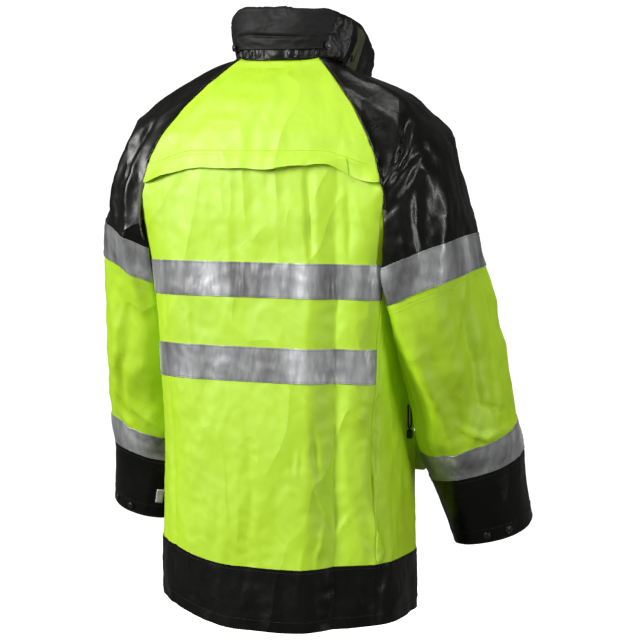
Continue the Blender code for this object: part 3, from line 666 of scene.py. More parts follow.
def reflective_tape(name):
    """Silver tape of tiny glass beads: cloudy grey patches, partly its own mottle and partly painted reflection
    and painted shade in upright bands, faint creases and a fine bead grain.
    """
    mottle_and_sheen_greys = ((0.34, (0.13, 0.13, 0.133)), (0.50, (0.32, 0.323, 0.327)), (0.66, (0.66, 0.665, 0.672)))

    def build(tree):
        # The greys are painted reflection and painted shade: light and dark patches drawn out upwards, like the
        # bands that its creases catch, over the tape's own mottle.
        colour = ramp(tree, noise_at(tree, 16.0, 5.0, 0.62, (1.0, 1.0, 0.22)), mottle_and_sheen_greys)
        layers = (
            (noise_at(tree, 40.0, 2.0, 0.5, (1.0, 1.0, 0.25), creased=True), 0.4, -0.0050),
            (cells_at(tree, 2600.0), 0.3, 0.00006),
        )
        return colour, mapped(tree, noise_at(tree, 60.0, 5.0), 0.30, 0.52), layers, {"Metallic": 0.35}

    return surfaced(name, build)


def woven(name, dark, light, roughness, threads=900.0):
    """Plain woven tape or lining: two crossed wave patterns for the threads."""
    def build(tree):
        heights = []
        for direction in ("Z", "X"):
            wave = node(tree, "ShaderNodeTexWave", Scale=threads / (2 * math.pi))
            wave.bands_direction = direction
            tree.links.new(node(tree, "ShaderNodeTexCoord").outputs["Object"], wave.inputs["Vector"])
            heights.append(wave.outputs["Fac"])
        colour = ramp(tree, noise_at(tree, 40.0, 5.0), ((0.3, dark), (0.7, light)))
        both = calculated(tree, "MULTIPLY", *heights)
        return colour, roughness, ((noise_at(tree, 45.0), 0.5, 0.002), (both, 0.4, 0.0002)), {}

    return surfaced(name, build)


def moulded(name, colour, roughness):
    """Moulded plastic or thick thread, with faint scuffs."""
    lighter = tuple(min(1.0, c * 1.35 + 0.004) for c in colour)

    def build(tree):
        base = ramp(tree, noise_at(tree, 160.0, 4.0), ((0.35, colour), (0.75, lighter)))
        gloss = mapped(tree, noise_at(tree, 240.0), roughness - 0.07, roughness + 0.1)
        return base, gloss, ((noise_at(tree, 700.0, 2.0), 0.15, 0.0002),), {}

    return surfaced(name, build)


def build_materials():
    """Every material; a coated fabric's numbers are its roughness, folds, coat, glow and creases."""
    return {
        "lime": coated_fabric(
            "lime", (0.395, 0.640, 0.0), (0.432, 0.690, 0.002), 0.60, 0.45, 0.0, 0.04, 0.10),
        "black": coated_fabric(
            "black_fabric", (0.0030, 0.0030, 0.0022), (0.0058, 0.0056, 0.0044), 0.29, 0.50, 0.05, 0.0, 0.16),
        "hood": coated_fabric(
            "hood_fabric", (0.0052, 0.0052, 0.0045), (0.0095, 0.0092, 0.0080), 0.44, 0.1, 0.0, 0.0, 0.3),
        "collar": coated_fabric(
            "collar_fabric", (0.0032, 0.0032, 0.0030), (0.0052, 0.0052, 0.0048), 0.66, 0.0, 0.0, 0.0, 0.2),
        "tape": reflective_tape("reflective_tape"),
        "lining": woven("olive_lining", (0.045, 0.048, 0.022), (0.080, 0.084, 0.042), 0.75),
        "backing": woven("lime_backing", (0.30, 0.42, 0.06), (0.42, 0.55, 0.11), 0.8),
        "mesh": woven("vent_mesh", (0.18, 0.26, 0.05), (0.30, 0.42, 0.10), 0.85, 500.0),
        "plastic": moulded("black_plastic", (0.010,) * 3, 0.34),
        "cord": woven("black_cord", (0.010,) * 3, (0.022,) * 3, 0.8, 1600.0),
        "label": woven("label", (0.45, 0.45, 0.44), (0.62, 0.62, 0.60), 0.7),
        "lime_thread": moulded("lime_thread", (0.36, 0.60, 0.03), 0.6),
        "black_thread": moulded("black_thread", (0.016,) * 3, 0.55),
        "grey_thread": moulded("grey_thread", (0.10,) * 3, 0.6),
    }


# Folds


def fractal(point, scale, octaves=3):
    value, size, weight = 0.0, scale, 1.0
    for _ in range(octaves):
        value += weight * noise.noise(Vector(point) * size)
        size *= 2.0
        weight *= 0.5
    return value


class Cloth:
    """Every surface's grid as one welded mesh, so that neighbours move together."""

    def __init__(self, surfaces):
        self.surfaces = surfaces
        self.index, keys, points = {}, {}, []
        for name, surface in surfaces.items():
            flat = surface.grid.reshape(-1, 3)
            ids = np.empty(len(flat), int)
            for i, p in enumerate(flat):
                key = tuple(np.round(p, 5))
                if key not in keys:
                    keys[key] = len(points)
                    points.append(p)
                ids[i] = keys[key]
            self.index[name] = ids.reshape(surface.grid.shape[:2])
        self.points = np.array(points)
        self.faces = np.concatenate([self.quads(name) for name in surfaces])

    def quads(self, name):
        """The surface's faces, pointing out of the garment."""
        ids, surface = self.index[name], self.surfaces[name]
        if surface.ring:
            ids = np.concatenate([ids, ids[:, :1]], axis=1)
        if surface.vs[0] > surface.vs[-1]:
            ids = ids[::-1]
        faces = np.stack([ids[:-1, :-1], ids[1:, :-1], ids[1:, 1:], ids[:-1, 1:]], axis=-1).reshape(-1, 4)
        return faces if orientation(name) > 0 else faces[:, ::-1]

    def normals(self):
        p = self.points[self.faces]
        n = np.cross(p[:, 2] - p[:, 0], p[:, 3] - p[:, 1])
        total = np.zeros_like(self.points)
        for k in range(4):
            np.add.at(total, self.faces[:, k], n)
        return total / np.maximum(np.linalg.norm(total, axis=1, keepdims=True), 1e-12)

    def write_back(self):
        for name, surface in self.surfaces.items():
            surface.grid = self.points[self.index[name]]


def orientation(name):
    """1 where a surface's own normals point out of the garment, or -1."""
    if name == "back":
        return 1.0
    sign = 1.0 if name.endswith("left") else -1.0
    return -sign if name.startswith("sleeve") else sign


# Each fold as the jacket is seen from behind: its line down the fabric as (x, z) places, how far its left and its
# right face reach, and its height. A minus height is a valley.
FOLD_LINES = (
    # the back
    (((0.048, 0.825), (0.0175, 0.8175), (-0.032, 0.8255)), 0.004, 0.004, -0.0045),
    (((-0.121, 0.700), (-0.120, 0.420), (-0.118, 0.220), (-0.112, -0.150)), 0.040, 0.060, -0.0210),
    (((-0.079, 0.675), (-0.083, 0.600), (-0.086, 0.530)), 0.007, 0.012, -0.0072),
    (((-0.137, 0.650), (-0.139, 0.600), (-0.140, 0.540)), 0.006, 0.014, -0.0045),
    (((-0.088, 0.300), (-0.092, 0.225)), 0.004, 0.009, -0.0051),
    (((-0.088, 0.226), (-0.116, 0.150)), 0.005, 0.006, 0.0051),
    (((-0.066, 0.270), (-0.065, 0.225)), 0.004, 0.005, 0.0027),
    (((-0.104, 0.165), (-0.092, 0.100)), 0.006, 0.005, 0.0033),
    (((-0.074, 0.130), (-0.066, 0.060)), 0.006, 0.006, 0.0024),
    (((-0.132, 0.182), (-0.164, 0.125)), 0.003, 0.005, -0.0036),
    (((-0.118, 0.148), (-0.140, 0.180)), 0.004, 0.004, 0.0030),
    (((-0.168, 0.350), (-0.167, 0.270), (-0.165, 0.185)), 0.007, 0.003, -0.0054),
    (((-0.162, 0.190), (-0.172, 0.120), (-0.160, 0.090)), 0.006, 0.004, 0.0051),
    (((0.150, 0.655), (0.142, 0.300), (0.131, -0.080)), 0.006, 0.009, -0.0030),
    (((0.108, 0.580), (0.098, 0.280), (0.094, 0.120)), 0.010, 0.012, 0.0019),
    (((0.040, 0.560), (0.035, 0.500), (0.043, 0.440)), 0.012, 0.012, 0.0015),
    (((0.010, 0.300), (0.004, 0.200), (0.014, 0.080)), 0.018, 0.014, -0.0024),
    # the right sleeve's black part
    (((-0.205, 0.750), (-0.206, 0.700), (-0.203, 0.648)), 0.007, 0.006, -0.0092),
    (((-0.200, 0.648), (-0.232, 0.700), (-0.243, 0.688)), 0.007, 0.007, -0.0076),
    (((-0.219, 0.740), (-0.216, 0.685)), 0.008, 0.008, 0.0060),
    (((-0.176, 0.625), (-0.205, 0.670), (-0.240, 0.716)), 0.009, 0.008, 0.0060),
    (((-0.183, 0.595), (-0.220, 0.640), (-0.252, 0.704)), 0.010, 0.010, -0.0057),
    (((-0.252, 0.745), (-0.259, 0.640), (-0.258, 0.505)), 0.014, 0.012, 0.0086),
    (((-0.232, 0.665), (-0.236, 0.540)), 0.010, 0.012, -0.0057),
    (((-0.280, 0.700), (-0.288, 0.540)), 0.012, 0.012, -0.0060),
    (((-0.214, 0.600), (-0.222, 0.520)), 0.007, 0.009, 0.0041),
    # the right sleeve's lime part
    (((-0.193, 0.500), (-0.222, 0.400), (-0.248, 0.320), (-0.263, 0.230)), 0.026, 0.022, 0.0149),
    (((-0.276, 0.510), (-0.296, 0.400), (-0.300, 0.300)), 0.020, 0.012, -0.0149),
    (((-0.318, 0.500), (-0.329, 0.390), (-0.333, 0.290)), 0.012, 0.012, 0.0079),
    (((-0.300, 0.335), (-0.325, 0.318), (-0.348, 0.334)), 0.006, 0.005, -0.0079),
    (((-0.262, 0.305), (-0.300, 0.283), (-0.335, 0.300)), 0.006, 0.006, 0.0070),
    (((-0.308, 0.372), (-0.332, 0.352), (-0.350, 0.360)), 0.005, 0.005, -0.0049),
    # the left sleeve
    (((0.204, 0.755), (0.236, 0.660), (0.264, 0.560)), 0.011, 0.009, 0.0060),
    (((0.178, 0.765), (0.212, 0.680), (0.236, 0.580)), 0.010, 0.008, -0.0050),
    (((0.230, 0.755), (0.262, 0.670), (0.290, 0.580)), 0.010, 0.008, -0.0044),
    (((0.228, 0.510), (0.262, 0.400), (0.292, 0.290)), 0.016, 0.014, 0.0044),
    (((0.250, 0.520), (0.290, 0.420), (0.318, 0.320)), 0.012, 0.010, -0.0038),
    (((0.232, 0.420), (0.262, 0.360), (0.270, 0.290)), 0.010, 0.010, -0.0034),
)


def line_fold(points, line, left, right):
    """1 on the line, falling away to 0 beside it and towards both its ends, with a sharp crease along it."""
    line = np.array(line)
    lengths = np.linalg.norm(np.diff(line, axis=0), axis=1)
    nearest, share, reach = np.full(len(points), 1.0), np.zeros(len(points)), np.full(len(points), left)
    for k, (a, b) in enumerate(zip(line[:-1], line[1:])):
        way = (b - a) / lengths[k]
        along = np.clip((points - a) @ way, 0.0, lengths[k])
        away = points - (a + along[:, None] * way)
        distance = np.linalg.norm(away, axis=1)
        closer = distance < nearest
        share = np.where(closer, (lengths[:k].sum() + along) / lengths.sum(), share)
        reach = np.where(closer, np.where(away[:, 0] > 0, left, right), reach)
        nearest = np.minimum(nearest, distance)
    slope = np.clip(1 - nearest / reach, 0.0, 1.0) ** 1.35
    return slope * np.sin(np.pi * np.clip(share, 0.03, 0.97)) ** 0.7


def placed_folds(points, normals):
    """The folds that the jacket's back and sleeves show, a little crooked and tapering away."""
    sway = np.array([noise.noise(Vector(p) * 24) + 0.5 * noise.noise(Vector(p) * 60) for p in points])
    flat = points[:, [0, 2]] + 0.0028 * sway[:, None]
    heights = np.zeros(len(points))
    for line, left, right, height in FOLD_LINES:
        heights += height * line_fold(flat, line, left, right)
    return heights * eased(0.05, 0.45, normals[:, 1])


def ridges(p, scale, tall):
    """Noise from -1 to 1 with creased tops, stretched upwards."""
    spot = Vector((p[0], p[1], p[2] * tall)) * scale
    bent = spot + Vector((noise.noise(spot * 0.6), noise.noise(spot * 0.6 + Vector((7, 3, 1))), 0)) * 0.8
    return 1 - 3.2 * abs(noise.noise(bent))


def fold_height(p):
    """Loose folds: few on the yoke and the hem band, more low on the back and most on the sleeves."""
    x, y, z = p
    on_sleeve = eased(0.190, 0.225, abs(x))
    on_yoke = eased(0.64, 0.70, z) * (1 - on_sleeve)
    low = 1 - eased(0.25, 0.55, z)
    amount = 0.32 + 0.20 * low + 0.80 * on_sleeve - 0.25 * on_yoke
    broad = 0.0036 * ridges((x, y, z + 3.1), 9.5, 0.42) + 0.0016 * fractal((x, y, z + 1.7), 9.0, 2)
    middle = 0.0019 * ridges((x, y, z + 5.3), 21.0, 0.50)
    small = 0.0006 * ridges((x, y, z + 9.3), 50.0, 0.9)
    stiff = 1 - 0.75 * (1 - eased(0.20, 0.27, z)) * on_sleeve
    return stiff * (amount * (broad + middle) + (0.5 + 0.5 * amount) * small)


def hem_lift(p):
    """The hem and its band rise towards the side seams, more at the left."""
    x, _, z = p
    most = 1.50 if x > 0 else 0.65
    most += (0.60 - most) * eased(0.198, 0.215, abs(x))
    return HEM_RISE * (0.15 + eased(0.03, 0.195, abs(x)) * most) * (1 - eased(0.0, 0.34, z))


def shoulder_lift(p):
    """The left shoulder stands a little higher."""
    x, y, z = p
    return 0.010 * math.exp(-(((x - 0.108) / 0.050) ** 2)) * eased(0.70, 0.77, z) * (1 - eased(0.0, 0.05, y))


def ride_up(sleeve):
    """The left sleeve has ridden up a little at its upper tape, and its cuff hangs out a little."""
    below = SHOULDER_CUT - sleeve.vs
    sleeve.grid[:, :, 2] += (0.021 * eased(0.0, 0.05, below) * (1 - eased(0.10, 0.26, below)))[:, None]
    sleeve.grid[:, :, 0] += (0.005 * eased(0.36, 0.50, below))[:, None]


def fold_surfaces(surfaces):
    """Give every surface its folds, all together so that the seams stay closed."""
    for name in list(surfaces):
        surfaces[name] = surfaces[name].refined().refined()
    ride_up(surfaces["sleeve_left"])
    cloth = Cloth(surfaces)
    cloth.points[:, 2] += [hem_lift(p) + shoulder_lift(p) for p in cloth.points]
    normals = cloth.normals()
    heights = np.array([fold_height(p) for p in cloth.points]) + placed_folds(cloth.points, normals)
    cloth.points = cloth.points + normals * heights[:, None]
    cloth.write_back()


# Stitching


def along(path, steps, stations):
    """The values of a path at some distances from its start."""
    return np.stack([np.interp(stations, steps, path[:, k]) for k in range(3)], axis=-1)


def unit(vector):
    return vector / max(np.linalg.norm(vector), 1e-9)


# A thread's sections, as (share of its length, share of its thickness), and the angles of a section's points
THREAD_SECTIONS = ((0.0, 0.15), (0.25, 1.0), (0.75, 1.0), (1.0, 0.15))
THREAD_ANGLES = [math.radians(angle) for angle in (0, 60, 120, 180, 270)]


def stitches(name, path, normals, material, body, slot, length=0.0022, gap=0.0014, radius=0.00032):
    """A row of short raised threads along a path of points on the cloth."""
    path, normals = np.asarray(path), np.asarray(normals)
    steps = path_lengths(path)
    count = max(1, int(steps[-1] / (length + gap)))
    shares = np.array([share for share, _ in THREAD_SECTIONS])
    points, faces = [], []
    for start in (np.arange(count) + 0.5) * steps[-1] / count - length / 2:
        faces += tube_faces(len(shares), len(THREAD_ANGLES), len(points))
        centres, ups = (along(values, steps, start + shares * length) for values in (path, normals))
        ahead = unit(centres[-1] - centres[0])
        for centre, up, (_, size) in zip(centres, ups, THREAD_SECTIONS):
            side = unit(np.cross(ahead, up)) * radius * size * 1.2
            rise = up * radius * size * 1.3
            points += [centre + side * math.cos(a) + rise * math.sin(a) for a in THREAD_ANGLES]
    return settle(make_object(name, points, faces, [material]), body)


def stitch_row(name, surface, us, vs, height, material, body, slot, sign=1.0, **sizes):
    """Stitches along a line where either us or vs is one value."""
    us, vs = np.atleast_1d(us).astype(float), np.atleast_1d(vs).astype(float)
    grid, normals = surface.at(us, vs), surface.normals(us, vs) * sign
    path, ups = (grid[0], normals[0]) if len(vs) == 1 else (grid[:, 0], normals[:, 0])
    return stitches(name, path + ups * height, ups, material, body, slot, **sizes)


# The body

ROW = 0.005
TAPE_ROW = 0.0042
RIM_SHARE = 0.08


def spaced(first, last, step):
    """Even rows with one more close to each end, so that the cloth's rims stay crisp."""
    rows = np.linspace(first, last, max(2, int(round(abs(last - first) / step)) + 1))
    near_first = first + (rows[1] - rows[0]) * RIM_SHARE
    near_last = last + (rows[-2] - rows[-1]) * RIM_SHARE
    return np.concatenate([rows[:1], [near_first], rows[1:-1], [near_last], rows[-1:]])


BACK_U = np.linspace(-1, 1, 121)
FRONT_U = np.linspace(0, 1, 66)
SIDE_U = np.linspace(0, 1, 44)
SLEEVE_U = np.linspace(0, FULL_TURN, 132, endpoint=False)
HEM_ROWS = spaced(0.0, BAND_TOP + 0.001, ROW)
# The lime cloth starts a little below the hem band's top edge, and the band stands a little proud of it
LIME_BASE = BAND_TOP - 0.0012
BAND_FACE = 0.0005


# Where the vent flap is tacked down, as a share of half the back's width
TACK_PLACE = -0.77


def vent_drop(u):
    """The yoke's seam arches: it drops towards the armholes."""
    return 0.019 * eased(0.58, 1.0, abs(u))


def flap_edge(u, offset=0.0):
    """The vent flap's free edge, a little wavy, moved up by an offset."""
    rise = 0.006 * math.exp(-(((u + 0.50) / 0.28) ** 2))
    waves = 0.0012 * math.sin(u * 7.0 - 0.6) + 0.0008 * math.sin(u * 17.0)
    return FLAP_EDGE - vent_drop(u) + rise + waves + offset


def yoke_seam(offset=0.0):
    """The line of the yoke's seam across the back, moved up by an offset."""
    return lambda u: FLAP_SEAM - vent_drop(u) + offset


def between(low_end, high_end, count):
    """For each column, heights between two lines across the back."""
    def heights(u):
        ends = [end(u) if callable(end) else end for end in (low_end, high_end)]
        rows = np.linspace(*ends, count)
        return np.insert(rows, 1, rows[0] + (rows[1] - rows[0]) * RIM_SHARE)

    return heights


def bell(value, middle, width):
    return np.exp(-(((value - middle) / width) ** 2))


def flap_lift(us, vs):
    """The flap stands off the back most along its free edge, and lies flat where it is tacked down."""
    rows = vs(0.0)
    hang = 1 - np.interp(rows, (rows[0], rows[-1]), (0, 1))[:, None]
    open_part = 0.30 + 0.9 * bell(us, -0.22, 0.42) + 0.7 * bell(us, 0.84, 0.10)
    tacked = 1 - 0.9 * bell(us, TACK_PLACE, 0.045)
    pleat = 0.9 * bell(us, -0.95, 0.05)
    return 0.0008 + 0.0062 * hang**1.3 * ((open_part + pleat) * tacked)[None, :]


def build_back(surfaces, m):
    back = surfaces["back"]
    faces = [m["lime"], m["backing"]]
    pieces = (
        ("lower_back", BACK_U, between(LIME_BASE, yoke_seam(-0.009), 122), faces, "back_panel",
         -FABRIC, 0.0, None),
        ("yoke", BACK_U, between(yoke_seam(-0.001), BACK_NECK + 0.001, 30), faces, "back_yoke",
         -FABRIC, 0.0, None),
        ("vent_mesh", BACK_U * 0.97, between(yoke_seam(-0.014), yoke_seam(0.002), 6), [m["mesh"]],
         "back_vent_mesh", -0.004, -0.003, None),
        ("vent_flap", BACK_U * 0.995, between(flap_edge, yoke_seam(0.003), 12), faces, "back_vent_flap",
         0.0, FABRIC, flap_lift),
    )
    for name, columns, rows, materials, cad_node, inner, outer, lift in pieces:
        cloth_piece(name, back, columns, rows, "root", materials, [cad_node], inner, outer, lift=lift)
    cloth_piece("hem_back", back, BACK_U, HEM_ROWS, "root", [m["black"], m["lining"]],
                ["hem_band_back"], -FABRIC, BAND_FACE)
    for k, (rise, lift) in enumerate(((0.0022, 0.0003), (-0.0042, 0.0027))):
        grid, normals = back.patch(BACK_U * 0.99, between(yoke_seam(rise), yoke_seam(), 2))
        path = grid[0] + normals[0] * lift
        stitches(f"yoke_stitch_{k}", path, normals[0], m["lime_thread"], "root", "lime")
    columns = np.array((TACK_PLACE - 0.002, TACK_PLACE + 0.002))
    grid, normals = back.patch(columns, between(lambda u: flap_edge(u, 0.0005), yoke_seam(), 20))
    path = grid[:, 0] + normals[:, 0] * 0.0028
    stitches("vent_tack", path, normals[:, 0], m["lime_thread"], "root", "lime", 0.0014, 0.0004, 0.0009)


def build_fronts(surfaces, m):
    lime, band = [m["lime"], m["backing"]], [m["black"], m["lining"]]
    for name, sign in SIDES.items():
        parts = (
            ("front", FRONT_U, FRONT_ROWS[-1], [f"hem_band_front_{name}"]),
            ("side", SIDE_U, LOW_ROWS[-1], []),
        )
        for part, columns, top, _ in parts:
            cloth_piece(f"{part}_{name}", surfaces[f"{part}_{name}"], columns, spaced(LIME_BASE, top, ROW),
                        "root", lime, [f"{part}_panel_{name}"], sign=sign)
        for part, columns, _, nodes in parts:
            cloth_piece(f"hem_{part}_{name}", surfaces[f"{part}_{name}"], columns, HEM_ROWS,
                        "root", band, nodes, -FABRIC, BAND_FACE, sign=sign)


def tape_strip(name, surface, columns, base, width, body, cad_node, m, lift=0.0002, ring=False, sign=1.0):
    """A strip of reflective tape with a row of stitches near each edge."""
    top = lift + 0.0009
    rows = spaced(base, base + width, TAPE_ROW)
    cloth_piece(name, surface, columns, rows, body, [m["tape"]], [cad_node],
                lift, top, ring, sign)
    closed = np.append(columns, FULL_TURN) if ring else columns
    for inset in (EDGE_STITCH, width - EDGE_STITCH):
        stitch_row(f"{name}_stitch_{int(inset * 1e4)}", surface, closed, base + inset, top, m["grey_thread"],
                   body, "reflective_tape", sign)


def build_tapes(surfaces, m):
    for level, base in (("lower", LOWER_TAPE), ("upper", UPPER_TAPE)):
        tape_strip(f"tape_back_{level}", surfaces["back"], BACK_U, base, TAPE_WIDTH, "root",
                   f"body_tape_back_{level}", m)
        for side, sign in SIDES.items():
            tape_strip(f"tape_front_{level}_{side}", surfaces[f"front_{side}"], FRONT_U, base, TAPE_WIDTH,
                       "root", f"body_tape_front_{level}_{side}", m, sign=sign)


# The sleeves


def ring_normal(height, side):
    """The way up out of the plane of the sleeve's ring, and the ring's centre."""
    rings = np.array(SLEEVE_RINGS)[::-1]
    cx, cy, out, back = (np.interp(height, rings[:, 0], rings[:, i]) for i in (1, 2, 6, 7))
    n = np.array((-out, -back, 1.0))
    return mirrored(n / np.linalg.norm(n), side), hung(mirrored((cx, cy, height), side))


def bend_zone(piece, height, side):
    """Bake a piece's placement into its mesh. The joint's ring is worked out but not used."""
    n, centre = ring_normal(height, side)
    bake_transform(piece)


def build_sleeves(surfaces, m):
    over_shoulder = spaced(SHOULDER_CUT + SHOULDER_SPAN, SHOULDER_CUT, 0.0055)[:-1]
    to_tape = spaced(SHOULDER_CUT, SLEEVE_TAPE_BASE + 0.004, ROW)
    black_rows = np.concatenate([over_shoulder, to_tape])[::-1]
    lime_rows = spaced(CUFF_TAPE_BASE + 0.004, SLEEVE_TAPE_BASE + 0.002, ROW)
    cuff_rows = spaced(CUFF_END, CUFF_TAPE_BASE + 0.003, ROW)
    black_faces, lime_faces = [m["black"], m["lining"]], [m["lime"], m["backing"]]
    for name, side in SIDES.items():
        surface, sign = surfaces[f"sleeve_{name}"], orientation(f"sleeve_{name}")
        arm, forearm = f"upper_arm_{name}", f"forearm_{name}"
        black = cloth_piece(f"raglan_{name}", surface, SLEEVE_U, black_rows, None,
                            black_faces, [f"shoulder_{name}", f"upper_sleeve_{name}"], ring=True, sign=sign)
        bend_zone(black, SHOULDER_CUT, side)
        lime = cloth_piece(f"lime_sleeve_{name}", surface, SLEEVE_U, lime_rows, None, lime_faces,
                           [f"mid_sleeve_{name}", f"lower_sleeve_{name}"], ring=True, sign=sign)
        bend_zone(lime, ELBOW_CUT, side)
        cloth_piece(f"cuff_band_{name}", surface, SLEEVE_U, cuff_rows, forearm, black_faces,
                    [f"cuff_{name}"], -FABRIC, BAND_FACE, ring=True, sign=sign)
        tapes = (
            ("upper", SLEEVE_TAPE_BASE, SLEEVE_TAPE_TOP - SLEEVE_TAPE_BASE, arm),
            ("lower", CUFF_TAPE_BASE, CUFF_TAPE_TOP - CUFF_TAPE_BASE, forearm),
        )
        for level, base, width, body in tapes:
            tape_strip(f"tape_sleeve_{level}_{name}", surface, SLEEVE_U, base, width, body,
                       f"sleeve_tape_{level}_{name}", m, 0.0004, True, sign)


# The seams' binding


def armhole_paths(surface, sign, turns):
    """Points on the armhole, the way from each down the sleeve, and the way out."""
    start, below = surface.at(turns, [surface.vs[0]])[0], surface.at(turns, [surface.vs[0] - 0.012])[0]
    way = (below - start) / np.linalg.norm(below - start, axis=1, keepdims=True)
    return start, way, surface.normals(turns, [surface.vs[0] - 0.012])[0] * sign


# A binding's section, as (distance down the sleeve, height above the cloth)
BINDING_SECTION = (
    (-0.0012, 0.0012), (0.0, 0.0022), (0.0014, 0.0024), (0.0030, 0.0017), (0.0062, 0.0016), (0.0072, 0.0008),
)


def build_bindings(surfaces, m):
    """The raglan seams: a flat bound tape on the sleeve's side, rolled over on the seam, and its stitches."""
    for name in SIDES:
        surface, sign = surfaces[f"sleeve_{name}"], orientation(f"sleeve_{name}")
        parts = (
            ("back", np.linspace(22, 136, 70), [f"raglan_piping_{name}"]),
            ("front", np.linspace(226, 338, 60), []),
        )
        for part, turns, nodes in parts:
            start, way, out = armhole_paths(surface, sign, turns)
            grid = np.array([start + way * distance + out * lift for distance, lift in BINDING_SECTION])[::-1]
            flat_strip(f"binding_{part}_{name}", grid, out, 0.0010, [m["black"]],
                       "root", nodes)
            path = start + way * 0.0056 + out * 0.0016
            stitches(f"binding_stitch_{part}_{name}", path, out, m["grey_thread"], "root", "black_fabric")


def facing(grid, normals):
    """1 where a grid's own faces point along its normals, or -1."""
    up = grid[1:, :-1] - grid[:-1, :-1]
    across = grid[:-1, 1:] - grid[:-1, :-1]
    own = np.cross(up, across)
    return 1.0 if (own * normals[:-1, :-1]).sum() > 0 else -1.0


# The collar


def neck_height(y):
    return np.interp(y, (-0.150, -0.120, -0.050, 0.026, 0.040), (0.765, 0.778, 0.819, 0.831, 0.828))


def collar_point_rows(shares, levels):
    """Rows round the collar; a share is the distance round from the centre back, and level 1 is its top."""
    shares = np.asarray(shares)
    base = rounded_ring(shares * 2 * math.pi, NECK_HALF_WIDTH, NECK_HALF_DEPTH, NECK_POWER)
    top = rounded_ring(shares * 2 * math.pi, COLLAR_TOP_HALF_WIDTH, COLLAR_TOP_HALF_DEPTH, NECK_POWER)
    base[:, 1] += NECK_CENTRE_Y
    top[:, 1] += COLLAR_TOP_CENTRE_Y
    crest = 0.006 * bell(shares, 0.035, 0.085) - 0.008 * eased(0.075, 0.165, shares)
    rows = []
    for level in levels:
        place = base + (top - base) * level
        z = neck_height(base[:, 1]) + 0.0035 + (COLLAR_HEIGHT + crest) * level
        rows.append(np.column_stack([place, z]))
    return np.array(rows)


def crease(spot):
    return 1 - 3.2 * abs(noise.noise(spot))


def crumple(points, scale, tall=0.5):
    """Sharp-crested folds, from -1 to 1, longer up than across."""
    found = []
    for x, y, z in points.reshape(-1, 3):
        spot = Vector((x, y, z * tall)) * scale
        bent = spot + Vector((noise.noise(spot * 0.7), noise.noise(spot * 0.7 + Vector((7, 3, 1))), 0)) * 0.9
        found.append(0.7 * crease(bent) + 0.3 * crease(bent * 2.3 + Vector((5, 2, 9))))
    return np.array(found).reshape(points.shape[:2])


def grid_normals(grid):
    surface = Surface(np.arange(grid.shape[1]), np.arange(grid.shape[0]), grid)
    return surface.normals(surface.us, surface.vs)


def raised(grid, heights):
    """The grid moved along its own outward normals."""
    return grid + grid_normals(grid) * heights[:, :, None]


def rolled_over(grid, radius, rise, steps):
    """A piece with its top edge turned over towards the wearer."""
    top, normals = grid[-1], grid_normals(grid)[-1]
    turns = np.linspace(0, math.pi, steps)[1:]
    rows = [top - normals * radius * (1 - math.cos(a)) + UP * rise * math.sin(a) for a in turns]
    return np.concatenate([grid, np.array(rows)])


def collar_piece(name, grid, materials, nodes, inner=-FABRIC):
    """A piece that goes round the neck."""
    made = settle(grid_shell(name, grid, grid_normals(grid), inner, 0.0, materials), "root", nodes)
    return made


def build_collar(m):
    around = np.linspace(-COLLAR_FRONT_EDGE, COLLAR_FRONT_EDGE, 190)
    levels = np.linspace(0, 1, 28)
    grid = collar_point_rows(around, levels)
    wave = 0.0014 * np.sin(around * 41 + 1.0)[None, :] * eased(0.1, 0.8, levels)[:, None]
    whole = rolled_over(raised(grid, wave + 0.0012 * crumple(grid, 26)), 0.0055, 0.0050, 9)
    whole = np.concatenate([whole, whole[-1:] - UP * 0.010])
    collar_piece("collar_shell", whole, [m["black"]], ["collar"])
    lining = raised(grid[:-1], 0.001 * crumple(grid[:-1], 30) - 0.0122)
    collar_piece("collar_inside", lining, [m["lining"]], ["collar_lining"])
    build_hood(m)
    build_hood_flap(m)
    build_gathers(m)
    for name, side in SIDES.items():
        place = collar_spot(side * FLAP_SNAP, 0.30)
        snap_on(f"hood_snap_{name}", place, m, [f"collar_snap_{name}"], "root", 0.0058)


def collar_spot(share, level):
    """A place on the hood pocket's flap and the way out of it."""
    steps = np.array((-1, 0, 1))
    grid = collar_point_rows(share + 0.01 * steps, level + 0.05 * steps)
    out = grid_normals(grid)[1, 1]
    return grid[1, 1] + out * (FLAP_OFFSET + 0.0042), out


def build_hood(m):
    """The rolled hood's thin fabric, which shows at both ends of its pocket and is crumpled there."""
    around = np.linspace(-0.365, 0.365, 300)
    levels = np.linspace(0.02, 0.985, 44)
    grid = collar_point_rows(around, levels)
    share = np.abs(around)
    reach = eased(0.085, 0.135, share) * (1 - eased(0.205, 0.232, share)) * np.where(around > 0, 0.3, 1.0)
    rim = eased(0.255, 0.275, share) * (1 - eased(0.34, 0.365, share))
    shape = np.sin(np.pi * levels) ** 0.5
    plump = (0.0006 + 0.0080 * reach + 0.0065 * rim)[None, :] * (0.35 + 0.65 * shape[:, None])
    folds = crumple(grid, 24, 0.45) * (0.0052 * reach + 0.0016 * rim)[None, :]
    small = crumple(grid, 85, 0.7) * (0.0010 * (reach + rim))[None, :]
    heights = np.maximum(plump + folds + small, 0.0008)
    materials = [m["hood"], m["lining"]]
    made = collar_piece("hood_roll", raised(grid, heights), materials,
                        ["stowed_hood"], -0.0006)
    mark_olive_gaps(made, around, levels)


def mark_olive_gaps(made, around, levels):
    """Between the hood's crumpled end and the collar's rim, its olive inside is turned out."""
    index = np.zeros(len(made.data.polygons), dtype=np.int32)
    made.data.polygons.foreach_get("material_index", index)
    middle = (np.abs(around[1:]) + np.abs(around[:-1])) / 2
    open_part = (middle > 0.222) & (middle < 0.256)
    marks = open_part[None, :] & (levels[:-1] < 0.93)[:, None]
    index[:marks.size][marks.ravel()] = 1
    made.data.polygons.foreach_set("material_index", index)


